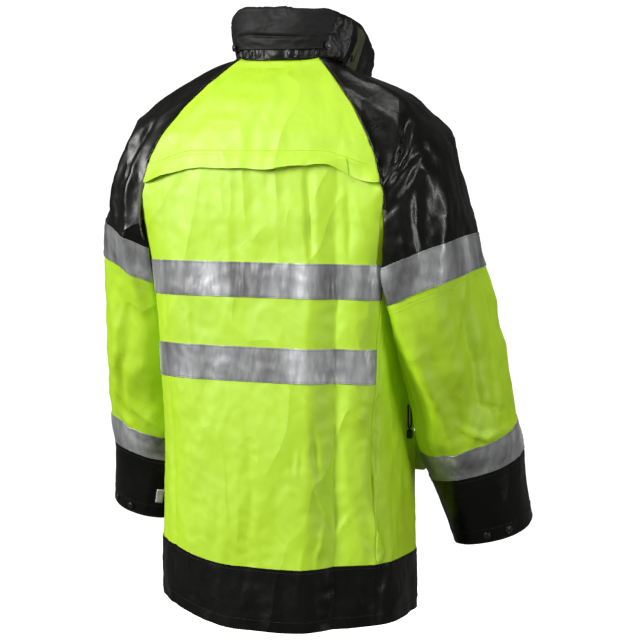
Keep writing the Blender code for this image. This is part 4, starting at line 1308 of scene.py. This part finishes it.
def build_hood_flap(m):
    """The smooth flap that closes the hood's pocket, creased across and swelling over the hood."""
    around = np.linspace(-FLAP_END, FLAP_END, 150)
    levels = np.linspace(0.20, 1.0, 44)
    grid = collar_point_rows(around, levels)
    bent = levels[:, None] - 0.02 * np.sin(around * 30)[None, :]
    fold = bell(bent, 0.47, 0.030) * bell(around, 0.012, 0.060)
    rise = 0.0030 * np.sin(np.pi * eased(0.20, 1.0, levels))
    swell = rise[:, None] * np.cos(around / FLAP_END * 1.3)[None, :]
    ends = 0.0014 * (1 - eased(0.0, 0.030, FLAP_END - np.abs(around)))
    heights = FLAP_OFFSET + swell - 0.0042 * fold + 0.0012 * crumple(grid, 24, 1.6) - ends
    flap = raised(grid, heights)
    normals = grid_normals(flap)
    whole = rolled_over(flap, 0.0065, 0.0068, 8)
    collar_piece("hood_flap", whole, [m["collar"]], ["hood_pocket_flap"], -0.0012)
    path = flap[1] + normals[1] * 0.0001
    stitches("hood_flap_stitch", path, normals[1], m["black_thread"], "root", "collar_fabric")


def build_gathers(m):
    """The puckered strip under the flap, and the rolled edge of the neck's seam."""
    levels = np.linspace(0.0, 0.25, 20)
    around = np.linspace(-FLAP_END - 0.004, FLAP_END + 0.004, 320)
    grid = collar_point_rows(around, levels)
    phase = around * 240 + 3.0 * np.array([noise.noise(Vector((a * 22, 1.7, 0))) for a in around])
    puckers = np.sin(phase)[None, :] * 0.0013 + 0.0013 * crumple(grid, 60, 0.3)
    held = np.sin(np.pi * np.clip(levels / 0.22, 0.05, 1.0))[:, None]
    strip = raised(grid, 0.0022 + puckers * held)
    collar_piece("hood_gathers", strip, [m["hood"]], ["gathered_band"], -0.0008)
    ring = collar_point_rows(np.linspace(-0.33, 0.33, 150), (0.0, 0.04))
    path = ring[0] + grid_normals(ring)[0] * 0.0026
    rolled_edge("neck_seam", path, 0.0021, m["black"], "root", "black_fabric")


def rolled_edge(name, path, radius, material, body, slot, columns=8):
    """A round rolled edge or a wire along a path."""
    ahead = np.gradient(path, axis=0)
    ahead /= np.linalg.norm(ahead, axis=1, keepdims=True)
    side = np.cross(ahead, UP)
    side /= np.maximum(np.linalg.norm(side, axis=1, keepdims=True), 1e-9)
    other = np.cross(side, ahead)
    points = []
    for place, first, second in zip(path, side, other):
        points += circle(place, first, second, radius, columns)
    faces = tube_faces(len(path), columns, flip=True)
    return settle(make_object(name, points, faces, [material]), body)


def turned(name, centre, axis, profile, material, body, slot, columns=40, nodes=()):
    """A round moulded piece: profile is (height along axis, radius) pairs from its foot to its top."""
    first = unit(np.cross(axis, (0.31, 0.17, 0.94)))
    second = np.cross(axis, first)
    points = []
    for height, radius in profile:
        points += circle(centre + np.asarray(axis) * height, first, second, radius, columns)
    faces = tube_faces(len(profile), columns)
    return settle(make_object(name, points, faces, [material]), body, nodes)


# A press stud's section, as shares of its depth and its radius: a flange with a rolled ring, and a dished cap
SNAP_DEPTH = 0.0021
SNAP_SECTION = (
    (0.0, 0.96), (0.15, 1.0), (0.45, 1.0), (0.62, 0.93), (0.60, 0.84), (0.50, 0.78),
    (0.55, 0.74), (0.86, 0.64), (1.0, 0.48), (0.97, 0.26), (0.94, 0.05),
)


def snap_on(name, place, m, nodes, body, radius):
    """A press stud on a place, which is a point and the way out of the cloth."""
    profile = [(depth * SNAP_DEPTH, reach * radius) for depth, reach in SNAP_SECTION]
    turned(name, *place, profile, m["plastic"], body, "black_plastic", nodes=nodes)


def build_hanger(m):
    """A narrow tape, bowed inwards so that a hook fits behind it."""
    across = np.linspace(-1, 1, 60)
    x = across * 0.028
    y = ORIGIN[1] - 0.006 - 0.009 * (1 - across**2)
    heights = ORIGIN[2] + np.linspace(-0.006, 0.0, 7)
    rows = np.array([np.column_stack([x, y, np.full_like(x, height)]) for height in heights])
    collar_piece("hanger_tape", rows, [m["cord"]], ["hanger_loop"], -0.0011)


# The front closure


def rounded_block(name, low_corner, high_corner, radius, material, body, slot, nodes=()):
    """A moulded block with rounded edges."""
    low_corner, high_corner = np.asarray(low_corner), np.asarray(high_corner)
    centre, half = (low_corner + high_corner) / 2, (high_corner - low_corner) / 2
    points = [hung(centre + half * np.array((i, j, k))) for i in (-1, 1) for j in (-1, 1) for k in (-1, 1)]
    faces = [(0, 1, 3, 2), (4, 6, 7, 5), (0, 4, 5, 1), (2, 3, 7, 6), (0, 2, 6, 4), (1, 5, 7, 3)]
    mesh = bpy.data.meshes.new(name)
    bm = bmesh.new()
    corners = [bm.verts.new(tuple(p)) for p in points]
    for face in faces:
        bm.faces.new([corners[i] for i in face])
    width = min(radius, half.min() * 0.9)
    bmesh.ops.bevel(bm, geom=bm.edges[:], offset=width, segments=3, profile=0.5, affect="EDGES")
    bm.to_mesh(mesh)
    bm.free()
    made = linked(name, mesh, material)
    mesh.polygons.foreach_set("use_smooth", [True] * len(mesh.polygons))
    return settle(made, body, nodes)


def node_corners(node_name):
    """A CAD node's corners in heights above the hem."""
    return low(node_name) + ORIGIN, high(node_name) + ORIGIN


# Each zip ribbon runs from the teeth to under the front's edge, and dips behind the front's cloth
ZIP_RIBBON_START = 0.0003
ZIP_RIBBON_END = 0.0150
ZIP_RIBBON_DIP = 0.0024


def build_zip(m):
    for name, side in SIDES.items():
        a, b = node_corners(f"zip_tape_{name}")
        xs = np.linspace(ZIP_RIBBON_START, ZIP_RIBBON_END, 9)[:: int(side)] * side
        back = b[1] - 0.0004 + ZIP_RIBBON_DIP * eased(0.009, 0.012, np.abs(xs))
        grid = np.array([[(x, y, z) for x, y in zip(xs, back)] for z in spaced(a[2], b[2], 0.008)])
        nodes = [f"zip_tape_{name}"]
        flat_strip(f"zip_ribbon_{name}", grid, FRONTWARDS, 0.0007, [m["cord"]], "root", nodes)
    build_zip_chain(m)
    looks = (m["plastic"], "zip_slider", "black_plastic")
    rounded_block("zip_slider_body", *node_corners("zip_slider"), 0.0012, *looks, ["zip_slider"])
    a, b = node_corners("zip_pull")
    rounded_block("zip_pull_tab", a, b - UP * 0.006, 0.0007, *looks, ["zip_pull"])
    ring = [(math.cos(t) * 0.0030, 0.0, math.sin(t) * 0.0042) for t in np.linspace(0, 2 * math.pi, 28)]
    centre = np.array((0.0, (a[1] + b[1]) / 2, b[2] - 0.0052))
    rolled_edge("zip_pull_ring", np.array(ring) + centre, 0.0007, *looks)


def build_zip_chain(m):
    a, b = node_corners("zip_teeth")
    points, faces = [], []
    for k in range(int((b[2] - a[2]) / TOOTH_PITCH) * 2):
        side = 1 if k % 2 else -1
        height = a[2] + (k // 2) * TOOTH_PITCH + (TOOTH_PITCH / 2 if side > 0 else 0)
        tooth(points, faces, side, (a[1] + b[1]) / 2, height)
    settle(make_object("zip_chain", points, faces, [m["plastic"]]), "root", ["zip_teeth"])


# A tooth from its foot to its tip: distance from the middle, half its depth and half its height
TOOTH_SECTIONS = ((0.0030, 0.0012, 0.0007), (0.0004, 0.0013, 0.0007), (-0.0007, 0.0009, 0.0004))
TOOTH_PITCH = 0.0030


def tooth(points, faces, side, y, z):
    """One moulded tooth: a tapered block that reaches across the middle."""
    start = len(points)
    for x, half_y, half_z in TOOTH_SECTIONS:
        for dy, dz in ((-1, -1), (1, -1), (1, 1), (-1, 1)):
            points.append((side * x, y + dy * half_y, z + dz * half_z))
    for ring in (0, 4):
        for c in range(4):
            a, b = start + ring + c, start + ring + (c + 1) % 4
            faces.append((a, b, b + 4, a + 4) if side > 0 else (a, a + 4, b + 4, b))
    for end in ((3, 2, 1, 0), (8, 9, 10, 11)):
        faces.append(tuple(start + i for i in (end if side > 0 else reversed(end))))


def flat_strip(name, grid, out, thickness, materials, body, nodes=()):
    """A thin piece on a grid whose outer side faces out: a unit direction, or one for each column."""
    normals = np.broadcast_to(out, grid.shape).copy()
    made = grid_shell(name, grid, normals, -thickness, 0.0, materials, sign=facing(grid, normals))
    return settle(made, body, nodes)


def flap_panel(name, origin, across, out, width, height, m, body, nodes, waves=0.0008):
    """A doubled fabric flap: soft edges, gentle waves, rounded lower corners and two rows of stitching."""
    us, vs = np.linspace(0, 1, max(12, int(width / 0.004))), np.linspace(0, 1, max(12, int(height / 0.005)))
    corner = 0.010 * np.maximum(0.0, 1 - np.minimum(us, 1 - us) * width / 0.010) ** 2
    drop = vs[:, None] * (height - corner)[None, :]
    grid = origin + across * (us * width)[None, :, None] - UP * drop[:, :, None]
    lift = np.array([
        [waves * fractal((x, y, z * 0.6), 26.0, 3) * min(1.0, v * 6) for x, y, z in row]
        for v, row in zip(vs, grid)
    ])
    edge = np.minimum.outer(np.minimum(vs * height, (1 - vs) * height + 1), np.minimum(us, 1 - us) * width)
    puffed = 0.0006 * eased(0.0, 0.004, edge)
    grid = grid + (lift + puffed)[:, :, None] * out
    made = flat_strip(name, grid[::-1], out, 0.0020, [m["lime"], m["backing"]], body, nodes)
    surface = Surface(us, vs, grid)
    for inset in (EDGE_STITCH, 0.0095):
        side_u, end_v = inset / width, 1 - inset / height
        path = np.concatenate([
            surface.at([side_u], np.linspace(0.02, end_v, 40))[:, 0],
            surface.at(np.linspace(side_u, 1 - side_u, 60), [end_v])[0],
            surface.at([1 - side_u], np.linspace(end_v, 0.02, 40))[:, 0],
        ]) + out * 0.0002
        ups = np.broadcast_to(out, path.shape)
        stitches(f"{name}_stitch_{int(inset * 1e4)}", path, ups, m["lime_thread"], body, "lime")


def build_storm_flap(m):
    a, b = node_corners("storm_flap")
    origin, across = np.array((a[0], a[1] + 0.0004, b[2])), np.array((1.0, 0.0, 0.0))
    size = (b[0] - a[0], b[2] - a[2])
    flap_panel("storm_flap_cloth", origin, across, FRONTWARDS, *size, m, "storm_flap", ["storm_flap"], 0.0010)
    for k, height in enumerate(np.linspace(a[2] + 0.03, b[2] - 0.03, 6)):
        spot = np.array((a[0] + 0.012, a[1] - 0.0002, height))
        snap_on(f"storm_snap_{k}", (spot, FRONTWARDS), m, [], "storm_flap", 0.0066)
    a, b = node_corners("storm_flap_snap_strip")
    grid = np.array([[(x, b[1], z) for x in np.linspace(a[0], b[0], 6)] for z in spaced(a[2], b[2], 0.01)])
    nodes = ["storm_flap_snap_strip"]
    flat_strip("storm_flap_facing", grid, -FRONTWARDS, 0.0012, [m["cord"]],
               "storm_flap", nodes)
    build_welt(m)


def build_welt(m):
    """The rounded seam that the storm flap is sewn on by."""
    a, b = node_corners("storm_flap_welt")
    rows = spaced(a[2], b[2], 0.008)
    bulge = (
        (a[0], b[1]), (a[0] + 0.0004, a[1] + 0.001), (a[0] + 0.002, a[1]), (a[0] + 0.006, a[1] + 0.0002),
        (b[0] - 0.0004, a[1] + 0.0016), (b[0], b[1]),
    )
    grid = np.array([[(x, y, z) for x, y in bulge] for z in rows])
    sign = facing(grid, np.broadcast_to(FRONTWARDS, grid.shape))
    normals = grid_normals(grid) * sign
    made = grid_shell("storm_flap_seam", grid, normals, -0.0012, 0.0, [m["lime"]], sign=sign)
    settle(made, "root", ["storm_flap_welt"])
    path = np.array([(a[0] + 0.005, a[1] - 0.0001, z) for z in rows])
    ups = np.broadcast_to(FRONTWARDS, path.shape)
    stitches("storm_flap_seam_stitch", path, ups, m["lime_thread"], "root", "lime")


def build_pockets(surfaces, m):
    for name, side in SIDES.items():
        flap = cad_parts[f"pocket_flap_{name}"]
        points = np.array([flap.matrix_world @ v.co for v in flap.data.vertices]) + ORIGIN
        out = mirrored((math.sin(POCKET_SLANT), -math.cos(POCKET_SLANT), 0.0), side)
        across = mirrored((math.cos(POCKET_SLANT), math.sin(POCKET_SLANT), 0.0), side)
        width, height = np.ptp(points @ across), np.ptp(points[:, 2])
        face, start, top = (points @ out).max() - 0.0006, (points @ across).min(), points[:, 2].max()
        origin = out * face + across * start + UP * top
        body = f"pocket_flap_{name}"
        flap_panel(f"pocket_cover_{name}", origin, across, out, width, height, m, body, [body])
        for k, share in enumerate((0.18, 0.82)):
            spot = origin + across * width * share - UP * (height - 0.016) + out * 0.0012
            snap_on(f"pocket_snap_{k}_{name}", (spot, out), m, [], body, 0.0058)
        rows, columns = spaced(0.12, 0.258, 0.006), np.linspace(0.13, 0.86, 40)
        cloth_piece(f"pocket_lining_{name}", surfaces[f"front_{name}"], columns, rows, "root",
                    [m["cord"]], [f"pocket_bag_{name}"], -0.0058, -0.0045, sign=side)


# Trim on the cuffs


def cuff_place(surface, sign, degrees, height):
    spot = surface.at([degrees], [height])[0, 0]
    out = surface.normals([degrees], [height])[0, 0] * sign
    return spot + out * 0.0009, out


def build_cuff_trim(surfaces, m):
    closed = np.append(SLEEVE_U, FULL_TURN)
    for name in SIDES:
        surface, sign = surfaces[f"sleeve_{name}"], orientation(f"sleeve_{name}")
        for part, degrees in (("back", 84), ("outer", 52)):
            place = cuff_place(surface, sign, degrees, CUFF_SNAP_HEIGHT)
            nodes = [f"cuff_snap_{part}_{name}"]
            snap_on(f"wrist_snap_{part}_{name}", place, m, nodes, f"forearm_{name}", 0.0060)
        for height in (CUFF_END + 0.003, CUFF_END + 0.022, CUFF_TAPE_BASE - 0.006):
            stitch_row(f"cuff_stitch_{int(height * 1e3)}_{name}", surface, closed, height, 0.0009,
                       m["black_thread"], f"forearm_{name}", "black_fabric", sign)
        for height in (SLEEVE_TAPE_BASE - 0.007, SLEEVE_TAPE_BASE - 0.012):
            stitch_row(f"sleeve_stitch_{int(height * 1e3)}_{name}", surface, closed, height, 0.0001,
                       m["lime_thread"], f"upper_arm_{name}", "lime", sign)
    surface, sign = surfaces["sleeve_left"], orientation("sleeve_left")
    grid = surface.at(np.linspace(118, 130, 8), np.linspace(0.150, 0.176, 10))
    out = surface.normals([124], [0.163])[0, 0] * sign
    flat_strip("size_label", grid + out * 0.0016, out, 0.0005, [m["label"]],
               "forearm_left", ["cuff_label"])


def build_body_stitching(surfaces, m):
    hem = (0.0013, m["black_thread"], "root", "black_fabric")
    for height in (BAND_TOP - 0.004, 0.016):
        level = int(height * 1e3)
        stitch_row(f"hem_stitch_{level}", surfaces["back"], BACK_U, height, *hem)
        for name, sign in SIDES.items():
            for part in ("side", "front"):
                row = f"hem_stitch_{part}_{level}_{name}"
                stitch_row(row, surfaces[f"{part}_{name}"], FRONT_U, height, *hem, sign)
    for name, sign in SIDES.items():
        heights, surface = spaced(BAND_TOP + 0.006, 0.590, 0.01), surfaces[f"side_{name}"]
        stitch_row(f"side_seam_stitch_{name}", surface, 0.045, heights, 0.0002,
                   m["lime_thread"], "root", "lime", sign)


# The waist cord


CORD_SPOTS = (
    (-0.0205, 0.3260), (-0.0208, 0.3120), (-0.0212, 0.2980), (-0.0235, 0.2925), (-0.0290, 0.2902),
    (-0.0345, 0.2925), (-0.0368, 0.2980), (-0.0372, 0.3120), (-0.0375, 0.3260),
)
CORD_RADIUS = 0.0014
CORD_CLEARANCE = 0.0048
CORD_STOP_SIZE = 0.0072
# The cord stop's outline, as shares of its size: (distance along its axis, radius)
CORD_STOP_SECTION = (
    (0.0, 0.7), (0.08, 0.94), (0.2, 1.0), (0.42, 1.0), (0.5, 0.9),
    (0.58, 1.0), (0.8, 1.0), (0.92, 0.94), (1.0, 0.7), (0.96, 0.3),
)


def smooth_path(spots, step):
    """Evenly spaced points of a smooth curve through the spots."""
    spots = np.asarray(spots)
    curve = Surface([0.0, 1.0], np.arange(len(spots)), np.stack([spots, spots], axis=1))
    fine = curve.at([0.0], np.linspace(0, len(spots) - 1, 20 * (len(spots) - 1) + 1))[:, 0]
    lengths = path_lengths(fine)
    stops = np.linspace(0.0, lengths[-1], int(round(lengths[-1] / step)) + 1)
    return np.stack([np.interp(stops, lengths, fine[:, i]) for i in range(3)], axis=-1), float(lengths[-1])


def build_drawcord(m):
    """The waist cord's loop at the right side, which hangs down to a cord stop."""
    lowest = CORD_SPOTS[len(CORD_SPOTS) // 2]
    x = -body_side_x(*lowest) - CORD_CLEARANCE
    path, length = smooth_path([(x, y, z) for y, z in CORD_SPOTS], 0.003)
    curve = bpy.data.curves.new("waist_cord", "CURVE")
    curve.dimensions = "3D"
    curve.bevel_depth = CORD_RADIUS
    curve.bevel_resolution = 4
    curve.use_fill_caps = True
    spline = curve.splines.new("POLY")
    spline.points.add(len(path) - 1)
    for point, place in zip(spline.points, hung(path)):
        point.co = (*place, 1.0)
    cord = settle(linked("waist_cord", curve, m["cord"]), "root", ["waist_drawcord"])
    foot = np.array((x + CORD_STOP_SIZE / 2, lowest[0], lowest[1] - CORD_RADIUS - CORD_STOP_SIZE))
    profile = np.array(CORD_STOP_SECTION) * CORD_STOP_SIZE
    stop = turned("waist_cord_stop", foot, (-1.0, 0.0, 0.0), profile, m["plastic"], "root", "black_plastic",
                  nodes=["cord_stop"])
    tuple(hung(path[:1])[0])


# The stage


def glowing_paper():
    paper = bpy.data.materials.new("backdrop_paper")
    paper.use_nodes = True
    inputs = paper.node_tree.nodes["Principled BSDF"].inputs
    inputs["Base Color"].default_value = (0.92, 0.92, 0.92, 1.0)
    inputs["Roughness"].default_value = 0.9
    inputs["Emission Color"].default_value = (1.0, 1.0, 1.0, 1.0)
    inputs["Emission Strength"].default_value = 1.0
    return paper


DOME_RADIUS = 9.0
DOME_COLUMNS = 64
DOME_ROWS = 12
FLOOR_BELOW_HEM = 0.55


def build_stage():
    """A pale floor under a pale dome. They are plain white to the eye and add no light to the jacket."""
    turns = np.linspace(0, 2 * math.pi, DOME_COLUMNS, endpoint=False)
    points, faces = [], [tuple(range(DOME_COLUMNS))]
    for row in range(DOME_ROWS + 1):
        lift = row / DOME_ROWS * math.pi / 2
        reach, height = DOME_RADIUS * math.cos(lift), HEM - FLOOR_BELOW_HEM + DOME_RADIUS * math.sin(lift)
        points += [(math.cos(a) * reach, math.sin(a) * reach, height) for a in turns]
    for row in range(DOME_ROWS):
        for c in range(DOME_COLUMNS):
            a, b = row * DOME_COLUMNS + c, row * DOME_COLUMNS + (c + 1) % DOME_COLUMNS
            faces.append((a, a + DOME_COLUMNS, b + DOME_COLUMNS, b))
    mesh = bpy.data.meshes.new("studio_floor")
    mesh.from_pydata(points, [], faces)
    made = linked("studio_floor", mesh, glowing_paper())
    for reach in ("visible_diffuse", "visible_glossy", "visible_transmission", "visible_shadow"):
        setattr(made, reach, False)


def way_to(azimuth, elevation):
    """The direction from the jacket to a light or a camera: azimuth 0 is in front and 180 is behind."""
    a, e = math.radians(azimuth), math.radians(elevation)
    return Vector((math.sin(a) * math.cos(e), -math.cos(a) * math.cos(e), math.sin(e)))


def aimed(name, data, target, way, distance):
    """A light or a camera at a distance from its target, looking back at it."""
    made = linked(name, data)
    made.location = Vector(target) + way * distance
    made.rotation_euler = (-way).to_track_quat("-Z", "Y").to_euler()
    return made


CAMERA_AZIMUTH = 200.0
CAMERA_ELEVATION = 3.0
CAMERA_DISTANCE = 2.4
CAMERA_LENS = 89.6
AIM_HEIGHT = 0.446
AIM_RIGHT = 0.050


def build_camera():
    turn = math.radians(CAMERA_AZIMUTH)
    right = Vector((math.cos(turn), math.sin(turn), 0.0))
    aim = Vector((0.0, 0.0, AIM_HEIGHT)) - Vector(ORIGIN) + right * AIM_RIGHT
    camera = bpy.data.cameras.new("camera")
    camera.lens = CAMERA_LENS
    camera.sensor_width = 36.0
    way = way_to(CAMERA_AZIMUTH, CAMERA_ELEVATION)
    bpy.context.scene.camera = aimed("camera", camera, aim, way, CAMERA_DISTANCE)


# Each light's azimuth, elevation, distance, size and power, and whether reflections show it
LIGHTS = {
    "key": (139, 24, 4.0, (1.3, 2.0), 205, True),
    "strip": (252, 14, 2.8, (0.14, 2.2), 34, True),
    "top": (215, 78, 2.4, (0.8, 0.5), 8, True),
    "back_fill": (195, 10, 3.0, (1.4, 2.0), 15, False),
    "front_fill": (345, 26, 3.0, (1.6, 2.0), 50, False),
    "front_strip": (20, 30, 3.0, (0.3, 2.0), 8, True),
}


def build_lights():
    for name, (azimuth, elevation, distance, size, power, in_reflections) in LIGHTS.items():
        light = bpy.data.lights.new(name, "AREA")
        light.energy = power
        light.shape = "RECTANGLE"
        light.size, light.size_y = size
        made = aimed(name, light, (0.0, 0.0, HEM + 0.5), way_to(azimuth, elevation), distance)
        made.visible_glossy = in_reflections
    world = bpy.data.worlds.new("studio")
    bpy.context.scene.world = world
    world.use_nodes = True
    background = world.node_tree.nodes["Background"].inputs
    background["Color"].default_value = (1.0, 1.0, 1.0, 1.0)
    background["Strength"].default_value = 0.085
    bpy.context.scene.view_settings.view_transform = "Standard"


build_camera()
materials = build_materials()
build_drawcord(materials)
build_lights()
build_stage()
surfaces = build_surfaces()
fold_surfaces(surfaces)
build_back(surfaces, materials)
build_fronts(surfaces, materials)
build_tapes(surfaces, materials)
build_sleeves(surfaces, materials)
build_bindings(surfaces, materials)
build_collar(materials)
build_hanger(materials)
build_zip(materials)
build_storm_flap(materials)
build_pockets(surfaces, materials)
build_cuff_trim(surfaces, materials)
build_body_stitching(surfaces, materials)
